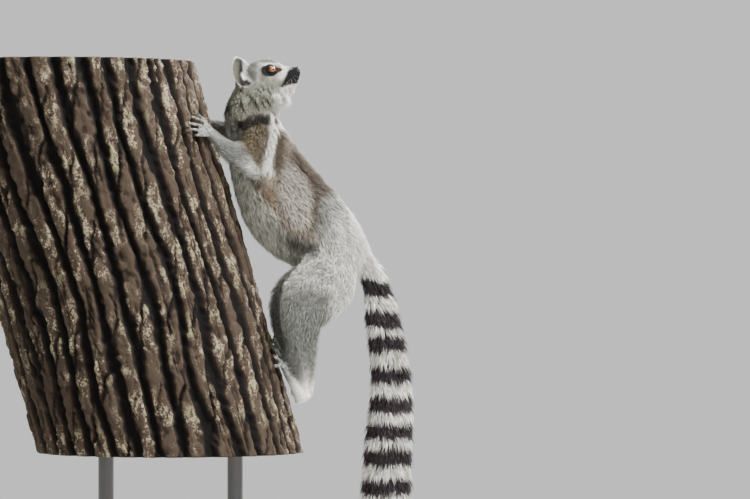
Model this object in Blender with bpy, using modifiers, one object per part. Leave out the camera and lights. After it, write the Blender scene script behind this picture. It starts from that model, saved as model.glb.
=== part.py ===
"""A life-size ring-tailed lemur that clings to a cut length of tree trunk on a plain stand.

Metres, +Z up. The animal faces the trunk, which leans away from it, and looks back over its
shoulder along +X. Its left side is on the -Y side. The origin is on the floor at the middle of
the whole model. The flesh is modelled whole, then parted into its named sub-parts by cuts
GAP wide.
"""

from math import cos, pi, radians, sin, tan

import bmesh
import bpy
from mathutils import Matrix, Vector

MODEL_NAME = "ring_tailed_lemur"
GAP = 0.0003  # between neighbouring solids
FLESH_GAP = 0.0010  # as cut, before the pieces are thinned

# Tree trunk: a leaning round, sawn level at both ends, with its bark in long ridges.
TRUNK_LEAN = radians(15.7)
TRUNK_RADIUS = 0.200
TRUNK_FOOT_X = 0.0905  # where its axis would meet the floor
TRUNK_BOTTOM = 0.330
TRUNK_TOP = 0.935
BARK_RIDGES = 32
BARK_DEPTH = 0.011
BARK_CREST = 0.24  # from a ridge's middle to its shoulder, as a share of its pitch
BARK_RINGS = 6

# Stand: a plate on the floor and two rods up to the trunk's sawn lower end.
BASE_LENGTH = 0.640
BASE_WIDTH = 0.430
BASE_THICKNESS = 0.014
BASE_CORNER = 0.030
BASE_EDGE = 0.002
ROD_RADIUS = 0.012
ROD_SPREAD = 0.200
ROD_SIDES = 20

# Flesh: the size of the grid that fuses it, and the triangles it is parted at.
FUSE_SIZE = 0.0016
FUSE_SMOOTHING = 4
FUSED_TRIANGLES = 15000
# How much of its cut mesh each kind of piece keeps: more where the form is finest.
FINE_SHARE = 0.44
LIMB_SHARE = 0.25
TRUNK_SHARE = 0.24
FINE_KINDS = ("head", "jaw", "nose", "ear", "hand", "foot")
TRUNK_KINDS = ("chest", "belly", "rump", "neck")
CUT_MARGIN = 0.004  # how far a limb's cut stands off its own section
# Turns at which a rounded end has its rings: on the flesh, and on the cutting bodies.
ROUND_ENDS = (pi / 6, pi / 3, 0.46 * pi)
CUT_ENDS = (pi / 4, 0.42 * pi)

# Head: its frame is centred between the eyes, x along the muzzle, y to the animal's left.
HEAD_CENTRE = (0.1547, 0.0, 0.9215)
HEAD_PITCH = radians(17)
HEAD_YAW = radians(-2)
EYE_RADIUS = 0.0078
EYE_CENTRE = (-0.0012, 0.0158, 0.0)
EAR_CENTRE = (-0.0425, 0.0315, 0.0095)
EAR_HEIGHT = 0.0270
EAR_WIDTH = 0.0190
EAR_BOWL = 0.0100
EAR_THICKNESS = 0.0036

TORSO_LEAN = radians(34.7)  # from upright, the head end towards the trunk

# Tail: its half widths from root to tip, at even steps of its length.
TAIL_LENGTHS = 6
TAIL_SIDES = 14
TAIL_STEPS = 2  # sections for each step of its curve

# Looks: colour, roughness and metallic of each kind of sub-part, by how its name starts.
LOOKS = {
    "eye": ((0.72, 0.27, 0.04), 0.10, 0.0),
    "nose": ((0.02, 0.02, 0.02), 0.35, 0.0),
    "jaw": ((0.80, 0.79, 0.75), 0.85, 0.0),
    "ear": ((0.74, 0.74, 0.70), 0.85, 0.0),
    "head": ((0.55, 0.55, 0.52), 0.85, 0.0),
    "neck": ((0.45, 0.44, 0.40), 0.85, 0.0),
    "chest": ((0.42, 0.37, 0.31), 0.88, 0.0),
    "belly": ((0.50, 0.46, 0.41), 0.88, 0.0),
    "rump": ((0.70, 0.68, 0.64), 0.88, 0.0),
    "upper": ((0.36, 0.30, 0.20), 0.88, 0.0),
    "forearm": ((0.58, 0.58, 0.56), 0.86, 0.0),
    "hand": ((0.62, 0.62, 0.59), 0.80, 0.0),
    "thigh": ((0.66, 0.65, 0.62), 0.88, 0.0),
    "shank": ((0.60, 0.60, 0.57), 0.86, 0.0),
    "foot": ((0.64, 0.63, 0.60), 0.80, 0.0),
    "tail": ((0.20, 0.20, 0.19), 0.90, 0.0),
    "tree": ((0.18, 0.12, 0.08), 0.92, 0.0),
    "stand": ((0.06, 0.06, 0.065), 0.45, 0.6),
}

# Sections of the skull in the head's frame: x, height of its middle, half height, half width.
SKULL = [
    (0.0370, -0.0150, 0.0095, 0.0072),
    (0.0330, -0.0172, 0.0140, 0.0086),
    (0.0265, -0.0188, 0.0182, 0.0098),
    (0.0200, -0.0185, 0.0211, 0.0110),
    (0.0140, -0.0160, 0.0265, 0.0122),
    (0.0045, -0.0132, 0.0310, 0.0166),
    (-0.0070, -0.0118, 0.0330, 0.0262),
    (-0.0200, -0.0110, 0.0328, 0.0287),
    (-0.0320, -0.0110, 0.0305, 0.0268),
    (-0.0420, -0.0110, 0.0240, 0.0210),
]
# Sections of the body: x, y, z, half depth in the side view, half width across it.
TORSO = [
    (0.1180, 0.0, 0.8400, 0.0420, 0.0340),
    (0.1223, 0.0, 0.8328, 0.0473, 0.0400),
    (0.1291, 0.0, 0.8149, 0.0519, 0.0430),
    (0.1386, 0.0, 0.7876, 0.0566, 0.0460),
    (0.1507, 0.0, 0.7582, 0.0638, 0.0500),
    (0.1681, 0.0, 0.7232, 0.0721, 0.0540),
    (0.1882, 0.0, 0.6995, 0.0752, 0.0570),
    (0.2116, 0.0, 0.6798, 0.0724, 0.0570),
    (0.2389, 0.0, 0.6610, 0.0639, 0.0540),
    (0.2590, 0.0, 0.6464, 0.0545, 0.0480),
    (0.2720, 0.0, 0.6360, 0.0430, 0.0400),
]
NECK = [
    (0.1271, 0.0, 0.8323, 0.0434, 0.0360),
    (0.1217, 0.0, 0.8448, 0.0442, 0.0380),
    (0.1178, 0.0, 0.8571, 0.0449, 0.0400),
    (0.1279, 0.0, 0.8680, 0.0488, 0.0410),
    (0.1321, 0.0, 0.8789, 0.0477, 0.0390),
    (0.1333, 0.0, 0.8912, 0.0403, 0.0345),
    (0.1318, 0.0, 0.9036, 0.0325, 0.0290),
]
LEFT_UPPER_ARM = [
    (0.1395, -0.0360, 0.8390, 0.0310, 0.0180),
    (0.1355, -0.0480, 0.8137, 0.0300, 0.0180),
    (0.1350, -0.0560, 0.7930, 0.0280, 0.0170),
    (0.1385, -0.0610, 0.7680, 0.0190, 0.0150),
]
LEFT_FOREARM = [
    (0.1360, -0.0630, 0.7620, 0.0180, 0.0160),
    (0.1150, -0.0650, 0.7775, 0.0215, 0.0170),
    (0.0945, -0.0670, 0.7915, 0.0215, 0.0160),
    (0.0765, -0.0690, 0.8050, 0.0170, 0.0130),
    (0.0635, -0.0685, 0.8230, 0.0100, 0.0095),
]
RIGHT_UPPER_ARM = [
    (0.1200, 0.0360, 0.8370, 0.0300, 0.0200),
    (0.1080, 0.0680, 0.8290, 0.0260, 0.0200),
    (0.0970, 0.0930, 0.8210, 0.0220, 0.0180),
]
RIGHT_FOREARM = [
    (0.0930, 0.0990, 0.8160, 0.0205, 0.0170),
    (0.0770, 0.1070, 0.8230, 0.0215, 0.0170),
    (0.0560, 0.1140, 0.8340, 0.0180, 0.0150),
    (0.0350, 0.1210, 0.8480, 0.0130, 0.0115),
    (0.0190, 0.1270, 0.8600, 0.0100, 0.0095),
]
LEFT_THIGH = [
    (0.2620, -0.0330, 0.6180, 0.0380, 0.0210),
    (0.2500, -0.0460, 0.6070, 0.0430, 0.0260),
    (0.2139, -0.0600, 0.5952, 0.0350, 0.0260),
    (0.1860, -0.0680, 0.5790, 0.0260, 0.0210),
]
LEFT_SHANK = [
    (0.1850, -0.0680, 0.5660, 0.0240, 0.0200),
    (0.1950, -0.0640, 0.5400, 0.0290, 0.0210),
    (0.2015, -0.0590, 0.5160, 0.0310, 0.0200),
    (0.2025, -0.0530, 0.4882, 0.0265, 0.0175),
    (0.2040, -0.0480, 0.4572, 0.0200, 0.0155),
    (0.2030, -0.0450, 0.4350, 0.0175, 0.0155),
]
RIGHT_THIGH = [
    (0.2620, 0.0330, 0.6180, 0.0380, 0.0210),
    (0.2480, 0.0460, 0.6090, 0.0410, 0.0260),
    (0.2000, 0.0600, 0.5930, 0.0350, 0.0250),
    (0.1670, 0.0680, 0.5730, 0.0250, 0.0210),
]
RIGHT_SHANK = [
    (0.1650, 0.0680, 0.5620, 0.0230, 0.0200),
    (0.1750, 0.0640, 0.5330, 0.0280, 0.0205),
    (0.1850, 0.0590, 0.5060, 0.0270, 0.0190),
    (0.1920, 0.0530, 0.4800, 0.0225, 0.0170),
    (0.1935, 0.0480, 0.4560, 0.0180, 0.0150),
    (0.1910, 0.0460, 0.4400, 0.0165, 0.0150),
]
TAIL_ROOT = [
    (0.2650, 0.0, 0.6380, 0.0300, 0.0280),
    (0.2850, 0.0, 0.6290, 0.0235, 0.0225),
    (0.3007, 0.0, 0.6205, 0.0205, 0.0205),
    (0.3100, 0.0, 0.6090, 0.0205, 0.0205),
]
TAIL = [
    (0.3007, 0.0, 0.6205, 0.0205, 0.0205),
    (0.3160, 0.0, 0.5900, 0.0225, 0.0225),
    (0.3235, 0.0, 0.5450, 0.0260, 0.0255),
    (0.3332, 0.0, 0.4960, 0.0290, 0.0285),
    (0.3415, 0.0, 0.4479, 0.0320, 0.0310),
    (0.3410, 0.0, 0.4077, 0.0345, 0.0330),
    (0.3355, 0.0, 0.3534, 0.0385, 0.0360),
    (0.3317, 0.0, 0.3022, 0.0400, 0.0375),
    (0.3301, 0.0, 0.2500, 0.0390, 0.0370),
    (0.3317, 0.0, 0.1938, 0.0365, 0.0350),
    (0.3348, 0.0, 0.1318, 0.0330, 0.0320),
    (0.3385, 0.0, 0.0800, 0.0270, 0.0265),
    (0.3410, 0.0, 0.0480, 0.0180, 0.0180),
    (0.3425, 0.0, 0.0310, 0.0060, 0.0060),
]


def trunk_axis_x(height):
    return TRUNK_FOOT_X - height * tan(TRUNK_LEAN)


def bark_wander(height, angle):
    """How far a ridge has turned round the trunk at this height, in radians."""
    return (0.030 * sin(9.0 * height) + 0.012 * sin(19.0 * height)
            + 0.020 * sin(3 * angle + 8.0 * height) + 0.012 * sin(7 * angle + 15.0 * height))


def on_trunk(height, angle, radius):
    """A point round the trunk's axis: angle 0 faces +X and a positive one turns towards -Y."""
    x = trunk_axis_x(height) + radius * cos(angle) / cos(TRUNK_LEAN)
    return Vector((x, -radius * sin(angle), height))


def on_bark(height, angle_degrees, lift):
    return on_trunk(height, radians(angle_degrees), TRUNK_RADIUS + lift)


def link(name, mesh, collection):
    made = bpy.data.objects.new(name, mesh)
    collection.objects.link(made)
    return made


def mesh_from(work, name):
    bmesh.ops.recalc_face_normals(work, faces=work.faces)
    mesh = bpy.data.meshes.new(name)
    work.to_mesh(mesh)
    work.free()
    return mesh


def smooth_through(stations, steps):
    """More stations between these, on a Catmull-Rom curve through them."""
    rows = [Vector(station) for station in stations]
    rows = [2 * rows[0] - rows[1], *rows, 2 * rows[-1] - rows[-2]]
    out = []
    for before, start, end, after in zip(rows, rows[1:], rows[2:], rows[3:]):
        for step in range(steps):
            t = step / steps
            bend = 2 * before - 5 * start + 4 * end - after
            twist = 3 * (start - end) + after - before
            out.append(start + 0.5 * t * ((end - before) + t * bend + t * t * twist))
    out.append(rows[-2])
    return out


def domed(rings, turns):
    """The same rings with a rounded end added to both ends, one more ring at each turn."""
    first, last = rings[0], rings[-1]
    caps = []
    for ring, beyond in ((first, rings[1]), (last, rings[-2])):
        centre, deep, wide, half_depth, half_width = ring
        out = (centre - beyond[0]).normalized() * min(half_depth, half_width)
        cap = []
        for turn in turns:
            size = cos(turn)
            cap.append((centre + out * sin(turn), deep, wide, half_depth * size, half_width * size))
        caps.append(cap)
    return caps[0][::-1] + rings + caps[1]


def oval_rings(stations, steps, margin=0.0, across=(0, 1, 0), facing=None):
    """Oval sections on a smooth curve through the stations, square to it or all facing one way."""
    rows = smooth_through(stations, steps)
    rings = []
    for index, row in enumerate(rows):
        ahead = rows[min(index + 1, len(rows) - 1)]
        behind = rows[max(index - 1, 0)]
        along = Vector(facing) if facing else (Vector(ahead[:3]) - Vector(behind[:3])).normalized()
        wide = Vector(across)
        wide = (wide - along * wide.dot(along)).normalized()
        deep = wide.cross(along)
        rings.append((Vector(row[:3]), deep, wide, row[3] + margin, row[4] + margin))
    return rings


def skinned(rings, sides):
    """A closed body through these rings, flat at both ends."""
    work = bmesh.new()
    loops = []
    for centre, deep, wide, half_depth, half_width in rings:
        loop = []
        for side in range(sides):
            turn = 2 * pi * side / sides
            offset = deep * half_depth * cos(turn) + wide * half_width * sin(turn)
            loop.append(work.verts.new(centre + offset))
        loops.append(loop)
    for near, far in zip(loops, loops[1:]):
        for side in range(sides):
            after = (side + 1) % sides
            work.faces.new((near[side], near[after], far[after], far[side]))
    work.faces.new(loops[0])
    work.faces.new(loops[-1])
    return work


def loft(stations, steps=3, sides=18, margin=0.0, ends=ROUND_ENDS, **frame):
    """A closed body through oval sections, each given by its middle and its two half sizes."""
    return skinned(domed(oval_rings(stations, steps, margin, **frame), ends), sides)


def ball(centre, radii, segments=20, rings=12, margin=0.0):
    work = bmesh.new()
    bmesh.ops.create_uvsphere(work, u_segments=segments, v_segments=rings, radius=1.0)
    bmesh.ops.scale(work, vec=Vector(radii) + Vector((margin,) * 3), verts=work.verts)
    bmesh.ops.translate(work, vec=Vector(centre), verts=work.verts)
    return work


def slab(centre, size, turn_y=0.0, margin=0.0):
    """A box turned about the Y axis, for cutting."""
    work = bmesh.new()
    bmesh.ops.create_cube(work, size=1.0)
    bmesh.ops.scale(work, vec=Vector(size) + Vector((2 * margin,) * 3), verts=work.verts)
    bmesh.ops.rotate(work, matrix=Matrix.Rotation(turn_y, 3, "Y"), verts=work.verts)
    bmesh.ops.translate(work, vec=Vector(centre), verts=work.verts)
    return work


def head_frame():
    turned = Matrix.Rotation(HEAD_YAW, 4, "Z") @ Matrix.Rotation(-HEAD_PITCH, 4, "Y")
    return Matrix.Translation(HEAD_CENTRE) @ turned


def placed(work, matrix):
    bmesh.ops.transform(work, matrix=matrix, verts=work.verts)
    return work


def mirrored(point, side):
    return Vector((point[0], side * point[1], point[2]))


def ear(side):
    """A cupped leaf, widest low down, that opens outward and a little forward."""
    up = Vector((-0.20, 0.24 * side, 0.95)).normalized()
    back = Vector((-0.84, 0.54 * side, 0.0))
    back = (back - up * back.dot(up)).normalized()
    opening = back.cross(up) * side
    centre = mirrored(EAR_CENTRE, side)
    work = bmesh.new()
    rings, sides = 5, 24
    loops = []
    for ring in range(1, rings + 1):
        reach = ring / rings
        loop = []
        for step in range(sides):
            turn = 2 * pi * step / sides
            breadth = EAR_WIDTH * (1 - 0.36 * cos(turn)) * sin(turn)
            flat = back * breadth * reach + up * EAR_HEIGHT * cos(turn) * reach
            loop.append(work.verts.new(centre + flat - opening * EAR_BOWL * (1 - reach * reach)))
        loops.append(loop)
    middle = work.verts.new(centre - opening * EAR_BOWL)
    for step in range(sides):
        after = (step + 1) % sides
        work.faces.new((middle, loops[0][step], loops[0][after]))
        for near, far in zip(loops, loops[1:]):
            work.faces.new((near[step], far[step], far[after], near[after]))
    bmesh.ops.recalc_face_normals(work, faces=work.faces)
    bmesh.ops.solidify(work, geom=work.faces, thickness=EAR_THICKNESS)
    return placed(work, head_frame())


def digit(points, radius):
    """A finger or toe that tapers a little to its tip."""
    stations = []
    for index, point in enumerate(points):
        size = radius * (1 - 0.10 * index)
        stations.append((*point, size, size))
    return loft(stations, steps=3, sides=10, across=(0, 0, 1))


def hand(side, wrist, knuckles, tips, thumb):
    """A palm on the bark with four fingers and a thumb, given as height and angle."""
    shapes = []
    palm = []
    middle_height = sum(height for height, angle in knuckles) / len(knuckles)
    middle_angle = sum(angle for height, angle in knuckles) / len(knuckles)
    for share, lift, thick, broad in ((0, 0.010, 0.0090, 0.0095), (0.5, 0.009, 0.0080, 0.0125),
                                      (1, 0.008, 0.0065, 0.0135)):
        height = wrist[0] + (middle_height - wrist[0]) * share
        angle = wrist[1] + (middle_angle - wrist[1]) * share
        palm.append((*on_bark(height, side * angle, lift), broad, thick))
    outward = Vector((cos(radians(middle_angle)), -side * sin(radians(middle_angle)), 0.27))
    shapes.append(loft(palm, sides=14, across=outward))
    for (low, near), (high, far) in zip(knuckles, tips):
        bend = (low + (high - low) * 0.55, near + (far - near) * 0.55)
        points = [on_bark(low, side * near, 0.008), on_bark(bend[0], side * bend[1], 0.0085),
                  on_bark(high, side * far, 0.0035)]
        shapes.append(digit(points, 0.0046))
    root = (wrist[0] + (middle_height - wrist[0]) * 0.45, wrist[1] + 1.0)
    points = [on_bark(root[0], side * root[1], 0.009),
              on_bark((root[0] + thumb[0]) / 2, side * (root[1] + thumb[1]) / 2, 0.009),
              on_bark(thumb[0], side * thumb[1], 0.004)]
    shapes.append(digit(points, 0.0048))
    return shapes


def foot(side, heel, ball_of_foot, tips, great_toe):
    """A heel, a long sole and five toes spread on the bark."""
    shapes = []
    sole = []
    for share, lift, thick, broad in ((0, heel[2], 0.0195, 0.0170), (0.35, 0.0230, 0.0150, 0.0150),
                                      (0.7, 0.0160, 0.0115, 0.0155), (1, 0.0120, 0.0090, 0.0165)):
        height = heel[0] + (ball_of_foot[0] - heel[0]) * share
        angle = heel[1] + (ball_of_foot[1] - heel[1]) * share
        sole.append((*on_bark(height, side * angle, lift), thick, broad))
    shapes.append(loft(sole, sides=16))
    count = len(tips)
    for index, (high, far) in enumerate(tips):
        spread = (index / (count - 1) - 0.5) * 6.5
        low, near = ball_of_foot[0] - 0.2 * spread * 0.001, ball_of_foot[1] + spread
        points = [on_bark(low, side * near, 0.0100),
                  on_bark((low + high) / 2, side * (near + far) / 2, 0.0090),
                  on_bark(high, side * far, 0.0040)]
        shapes.append(digit(points, 0.0056))
    points = [on_bark(ball_of_foot[0] - 0.014, side * (ball_of_foot[1] - 2.5), 0.0110),
              on_bark((ball_of_foot[0] - 0.014 + great_toe[0]) / 2,
                      side * (ball_of_foot[1] - 2.5 + great_toe[1]) / 2, 0.0100),
              on_bark(great_toe[0], side * great_toe[1], 0.0050)]
    shapes.append(digit(points, 0.0070))
    return shapes


LEFT_HAND = dict(
    wrist=(0.8210, 18.5),
    knuckles=[(0.8375, 22.0), (0.8310, 23.5), (0.8245, 24.3), (0.8185, 24.0)],
    tips=[(0.8470, 30.6), (0.8370, 34.0), (0.8277, 34.2), (0.8185, 31.0)],
    thumb=(0.8500, 24.0),
)
RIGHT_HAND = dict(
    wrist=(0.8620, 36.5),
    knuckles=[(0.8790, 40.5), (0.8725, 42.0), (0.8660, 42.8), (0.8600, 42.5)],
    tips=[(0.8890, 49.0), (0.8790, 52.5), (0.8700, 52.7), (0.8600, 50.0)],
    thumb=(0.8960, 41.5),
)
LEFT_FOOT = dict(
    heel=(0.4165, 11.0, 0.0275),
    ball_of_foot=(0.4660, 11.5),
    tips=[(0.4980, 6.5), (0.4930, 11.5), (0.4790, 15.5), (0.4650, 18.0)],
    great_toe=(0.4620, -2.5),
)
RIGHT_FOOT = dict(
    heel=(0.4250, 12.0, 0.0235),
    ball_of_foot=(0.4740, 13.0),
    tips=[(0.5060, 8.5), (0.5010, 13.5), (0.4880, 17.5), (0.4740, 20.5)],
    great_toe=(0.4700, -1.0),
)
# Cuts in the head's frame.
NOSE_CUT = dict(centre=(0.0405, 0, -0.0105), radii=(0.0080, 0.0090, 0.0065))
JAW_CUT = dict(centre=(0.0390, 0, -0.0570), size=(0.0640, 0.0800, 0.0600), turn_y=radians(-2.5))
EAR_CUT_CENTRE = (-0.0500, 0.0450, 0.0190)
EAR_CUT_SIZE = (0.0520, 0.0440, 0.0620)
EAR_CUT_TURN = radians(32)
# Boxes round what a flat cut parts off: middle, size and turn about Y.
HEAD_CUT = ((0.1450, 0, 0.9400), (0.1500, 0.1400, 0.1000), radians(20))
NECK_CUT = ((0.1300, 0, 0.9125), (0.2000, 0.2000, 0.1000), 0.0)
HAND_CUTS = {
    "hand_left": ((0.0150, -0.0900, 0.8350), (0.0900, 0.0800, 0.0900), radians(35)),
    "hand_right": ((-0.0300, 0.1450, 0.8850), (0.0900, 0.0900, 0.0900), radians(35)),
}
FOOT_CUTS = {
    "foot_left": ((0.1700, -0.0450, 0.4300), (0.0600, 0.0900, 0.1600), radians(-30)),
    "foot_right": ((0.1600, 0.0450, 0.4300), (0.0600, 0.0900, 0.1600), radians(-30)),
}
TORSO_CUTS = {
    "rump": ((0.2700, 0, 0.6200), (0.3000, 0.2000, 0.1100), -TORSO_LEAN),
    "belly": ((0.2100, 0, 0.7070), (0.3000, 0.2000, 0.1000), -TORSO_LEAN),
}
# What the cut round each thigh takes in: the thigh with the hamstring under it.
THIGH_CUT = [
    (0.2780, -0.0400, 0.5960, 0.0560, 0.0260),
    (0.2520, -0.0460, 0.5850, 0.0640, 0.0300),
    (0.2100, -0.0620, 0.5850, 0.0480, 0.0320),
    (0.1700, -0.0680, 0.5720, 0.0320, 0.0260),
]
HAMSTRING = [
    (0.2680, 0.0420, 0.5850, 0.0270, 0.0210),
    (0.2500, 0.0450, 0.5670, 0.0310, 0.0230),
    (0.2320, 0.0500, 0.5520, 0.0290, 0.0210),
    (0.2180, 0.0550, 0.5410, 0.0250, 0.0190),
]
CHEEK = dict(centre=(-0.0170, 0.0150, -0.0220), radii=(0.0200, 0.0130, 0.0170))
BROW = dict(centre=(-0.0025, 0.0135, 0.0085), radii=(0.0085, 0.0070, 0.0050))
THROAT = dict(centre=(-0.0030, 0.0, -0.0430), radii=(0.0190, 0.0230, 0.0180))
CHIN = dict(centre=(0.0110, 0.0, -0.0360), radii=(0.0150, 0.0110, 0.0100))


def flesh_shapes():
    """Every rounded body that the flesh is fused from."""
    shapes = [
        loft(TORSO, sides=28),
        loft(NECK, sides=24, facing=(0, 0, 1)),
        loft(TAIL_ROOT),
        loft(LEFT_UPPER_ARM),
        loft(LEFT_FOREARM),
        loft(RIGHT_UPPER_ARM),
        loft(RIGHT_FOREARM),
        loft(LEFT_THIGH),
        loft(LEFT_SHANK),
        loft(RIGHT_THIGH),
        loft(RIGHT_SHANK),
    ]
    shapes += hand(1, **LEFT_HAND)
    shapes += hand(-1, **RIGHT_HAND)
    shapes += foot(1, **LEFT_FOOT)
    shapes += foot(-1, **RIGHT_FOOT)
    skull = [(x, 0.0, z, half_height, half_width) for x, z, half_height, half_width in SKULL]
    shapes.append(placed(loft(skull, sides=28, facing=(-1, 0, 0)), head_frame()))
    for lump in (THROAT, CHIN):
        shapes.append(placed(ball(**lump), head_frame()))
    for side in (-1, 1):
        shapes.append(loft([(x, side * y, *rest) for x, y, *rest in HAMSTRING]))
        for lump in (CHEEK, BROW):
            shapes.append(placed(ball(mirrored(lump["centre"], side), lump["radii"]), head_frame()))
        shapes.append(ear(side))
    return shapes


def joined(shapes, name):
    whole = bmesh.new()
    for work in shapes:
        bmesh.ops.recalc_face_normals(work, faces=work.faces)
        piece = bpy.data.meshes.new("piece")
        work.to_mesh(piece)
        work.free()
        whole.from_mesh(piece)
        bpy.data.meshes.remove(piece)
    mesh = bpy.data.meshes.new(name)
    whole.to_mesh(mesh)
    whole.free()
    return mesh


def evaluated_mesh(item):
    """The object's mesh with its modifiers applied, which are then removed."""
    graph = bpy.context.evaluated_depsgraph_get()
    mesh = bpy.data.meshes.new_from_object(item.evaluated_get(graph))
    old = item.data
    item.modifiers.clear()
    item.data = mesh
    bpy.data.meshes.remove(old)
    return item


def fused(name, mesh, triangles, collection):
    """One skin round all these overlapping bodies, smoothed where they join."""
    item = link(name, mesh, collection)
    remesh = item.modifiers.new("fuse", "REMESH")
    remesh.mode = "VOXEL"
    remesh.voxel_size = FUSE_SIZE
    remesh.adaptivity = 0.0
    smooth = item.modifiers.new("soften", "SMOOTH")
    smooth.factor = 0.5
    smooth.iterations = FUSE_SMOOTHING
    evaluated_mesh(item)
    item.modifiers.new("triangles", "TRIANGULATE")
    evaluated_mesh(item)
    return thinned(item, triangles / len(item.data.polygons))


def thinned(item, share):
    """Keeps this share of the triangles, where they matter most to the form."""
    fewer = item.modifiers.new("fewer", "DECIMATE")
    fewer.ratio = share
    return evaluated_mesh(item)


def boolean(item, work, operation, collection):
    cutter = link("cutter", mesh_from(work, "cutter"), collection)
    cutter.hide_render = True
    cutter.display_type = "WIRE"
    cut = item.modifiers.new("cut", "BOOLEAN")
    cut.operation = operation
    cut.solver = "EXACT"
    cut.object = cutter
    evaluated_mesh(item)
    mesh = cutter.data
    bpy.data.objects.remove(cutter)
    bpy.data.meshes.remove(mesh)
    return item


def keep_largest(item):
    """Drops the crumbs that a cut can leave beside the main body."""
    work = bmesh.new()
    work.from_mesh(item.data)
    bmesh.ops.triangulate(work, faces=work.faces)
    bmesh.ops.remove_doubles(work, verts=work.verts, dist=1e-6)
    bmesh.ops.dissolve_degenerate(work, dist=1e-6, edges=work.edges)
    unseen = set(work.verts)
    islands = []
    while unseen:
        todo = [unseen.pop()]
        island = []
        while todo:
            vertex = todo.pop()
            island.append(vertex)
            for edge in vertex.link_edges:
                other = edge.other_vert(vertex)
                if other in unseen:
                    unseen.remove(other)
                    todo.append(other)
        islands.append(island)
    islands.sort(key=len)
    for island in islands[:-1]:
        bmesh.ops.delete(work, geom=island, context="VERTS")
    bmesh.ops.triangulate(work, faces=work.faces)
    work.to_mesh(item.data)
    work.free()
    return item


def part_off(body, name, region, parts, cutters):
    """Moves what lies in the region to its own object, with a gap left between the two."""
    piece = link(name, body.data.copy(), parts)
    boolean(piece, region(0.0), "INTERSECT", cutters)
    boolean(body, region(FLESH_GAP), "DIFFERENCE", cutters)
    keep_largest(piece)
    keep_largest(body)
    return piece


def limb_region(stations):
    return lambda extra: loft(stations, sides=8, steps=1, margin=CUT_MARGIN + extra, ends=CUT_ENDS)


def slab_region(centre, size, turn_y):
    return lambda extra: slab(centre, size, turn_y, margin=extra)


def head_region(maker):
    return lambda extra: placed(maker(extra), head_frame())


def trunk_body(lift):
    """The trunk's closed body, grown by lift for cutting what touches it."""
    work = bmesh.new()
    count = BARK_RIDGES * 3
    loops = []
    for ring in range(BARK_RINGS):
        height = TRUNK_BOTTOM + (TRUNK_TOP - TRUNK_BOTTOM) * ring / (BARK_RINGS - 1)
        loop = []
        for step in range(count):
            ridge, place = divmod(step, 3)
            turn = ridge + (0, 0.5 - BARK_CREST, 0.5 + BARK_CREST)[place]
            angle = 2 * pi * turn / BARK_RIDGES
            radius = TRUNK_RADIUS - (0 if place else BARK_DEPTH)
            point = on_trunk(height, angle + bark_wander(height, angle), radius + lift)
            if lift and ring in (0, BARK_RINGS - 1):
                point.z += lift if ring else -lift
            loop.append(work.verts.new(point))
        loops.append(loop)
    for near, far in zip(loops, loops[1:]):
        for step in range(count):
            after = (step + 1) % count
            work.faces.new((near[step], near[after], far[after], far[step]))
    work.faces.new(loops[0])
    work.faces.new(loops[-1])
    return work


def material(name, colour, roughness, metallic=0.0):
    made = bpy.data.materials.new(name)
    made.use_nodes = True
    shader = made.node_tree.nodes["Principled BSDF"]
    shader.inputs["Base Color"].default_value = (*colour, 1.0)
    shader.inputs["Roughness"].default_value = roughness
    shader.inputs["Metallic"].default_value = metallic
    made.diffuse_color = (*colour, 1.0)
    return made


def make_eyes(parts):
    for name, side in (("eye_right", -1), ("eye_left", 1)):
        work = ball(mirrored(EYE_CENTRE, side), (EYE_RADIUS,) * 3, segments=12, rings=8)
        link(name, mesh_from(placed(work, head_frame()), name), parts)


def tail_length(length, margin=0.0):
    """One of the hanging tail's lengths, with flat ends that face its neighbours'."""
    rings = oval_rings(TAIL, TAIL_STEPS, margin)
    share = (len(rings) - 1) / TAIL_LENGTHS
    first, last = round(length * share), round((length + 1) * share)
    own = rings[first : last + 1]
    if not margin:
        centre, deep, wide, half_depth, half_width = own[0]
        own[0] = (centre - wide.cross(deep) * GAP, deep, wide, half_depth, half_width)
    return skinned(own, TAIL_SIDES)


def make_tail(parts):
    for length in range(TAIL_LENGTHS):
        name = "tail_%d" % (length + 1)
        link(name, mesh_from(tail_length(length), name), parts)


def make_trunk(parts):
    link("tree_trunk", mesh_from(trunk_body(0.0), "tree_trunk"), parts)


def make_stand(parts):
    work = bmesh.new()
    bmesh.ops.create_cube(work, size=1.0)
    size = Vector((BASE_LENGTH, BASE_WIDTH, BASE_THICKNESS))
    bmesh.ops.scale(work, vec=size, verts=work.verts)
    bmesh.ops.translate(work, vec=(0, 0, BASE_THICKNESS / 2), verts=work.verts)
    upright = [edge for edge in work.edges if abs(edge.verts[0].co.z - edge.verts[1].co.z) > 1e-4]
    bmesh.ops.bevel(work, geom=upright, offset=BASE_CORNER, segments=5, affect="EDGES", profile=0.5)
    rim = [edge for edge in work.edges
           if all(abs(vertex.co.z - BASE_THICKNESS) < 1e-6 for vertex in edge.verts)]
    bmesh.ops.bevel(work, geom=rim, offset=BASE_EDGE, segments=1, affect="EDGES")
    link("stand_base", mesh_from(work, "stand_base"), parts)
    middle = trunk_axis_x(TRUNK_BOTTOM)
    length = TRUNK_BOTTOM - BASE_THICKNESS - 2 * GAP
    for name, side in (("stand_rod_a", -1), ("stand_rod_b", 1)):
        work = bmesh.new()
        bmesh.ops.create_cone(work, cap_ends=True, segments=ROD_SIDES, radius1=ROD_RADIUS,
                              radius2=ROD_RADIUS, depth=length)
        centre = (middle + side * ROD_SPREAD / 2, 0, BASE_THICKNESS + GAP + length / 2)
        bmesh.ops.translate(work, vec=centre, verts=work.verts)
        link(name, mesh_from(work, name), parts)


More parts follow.
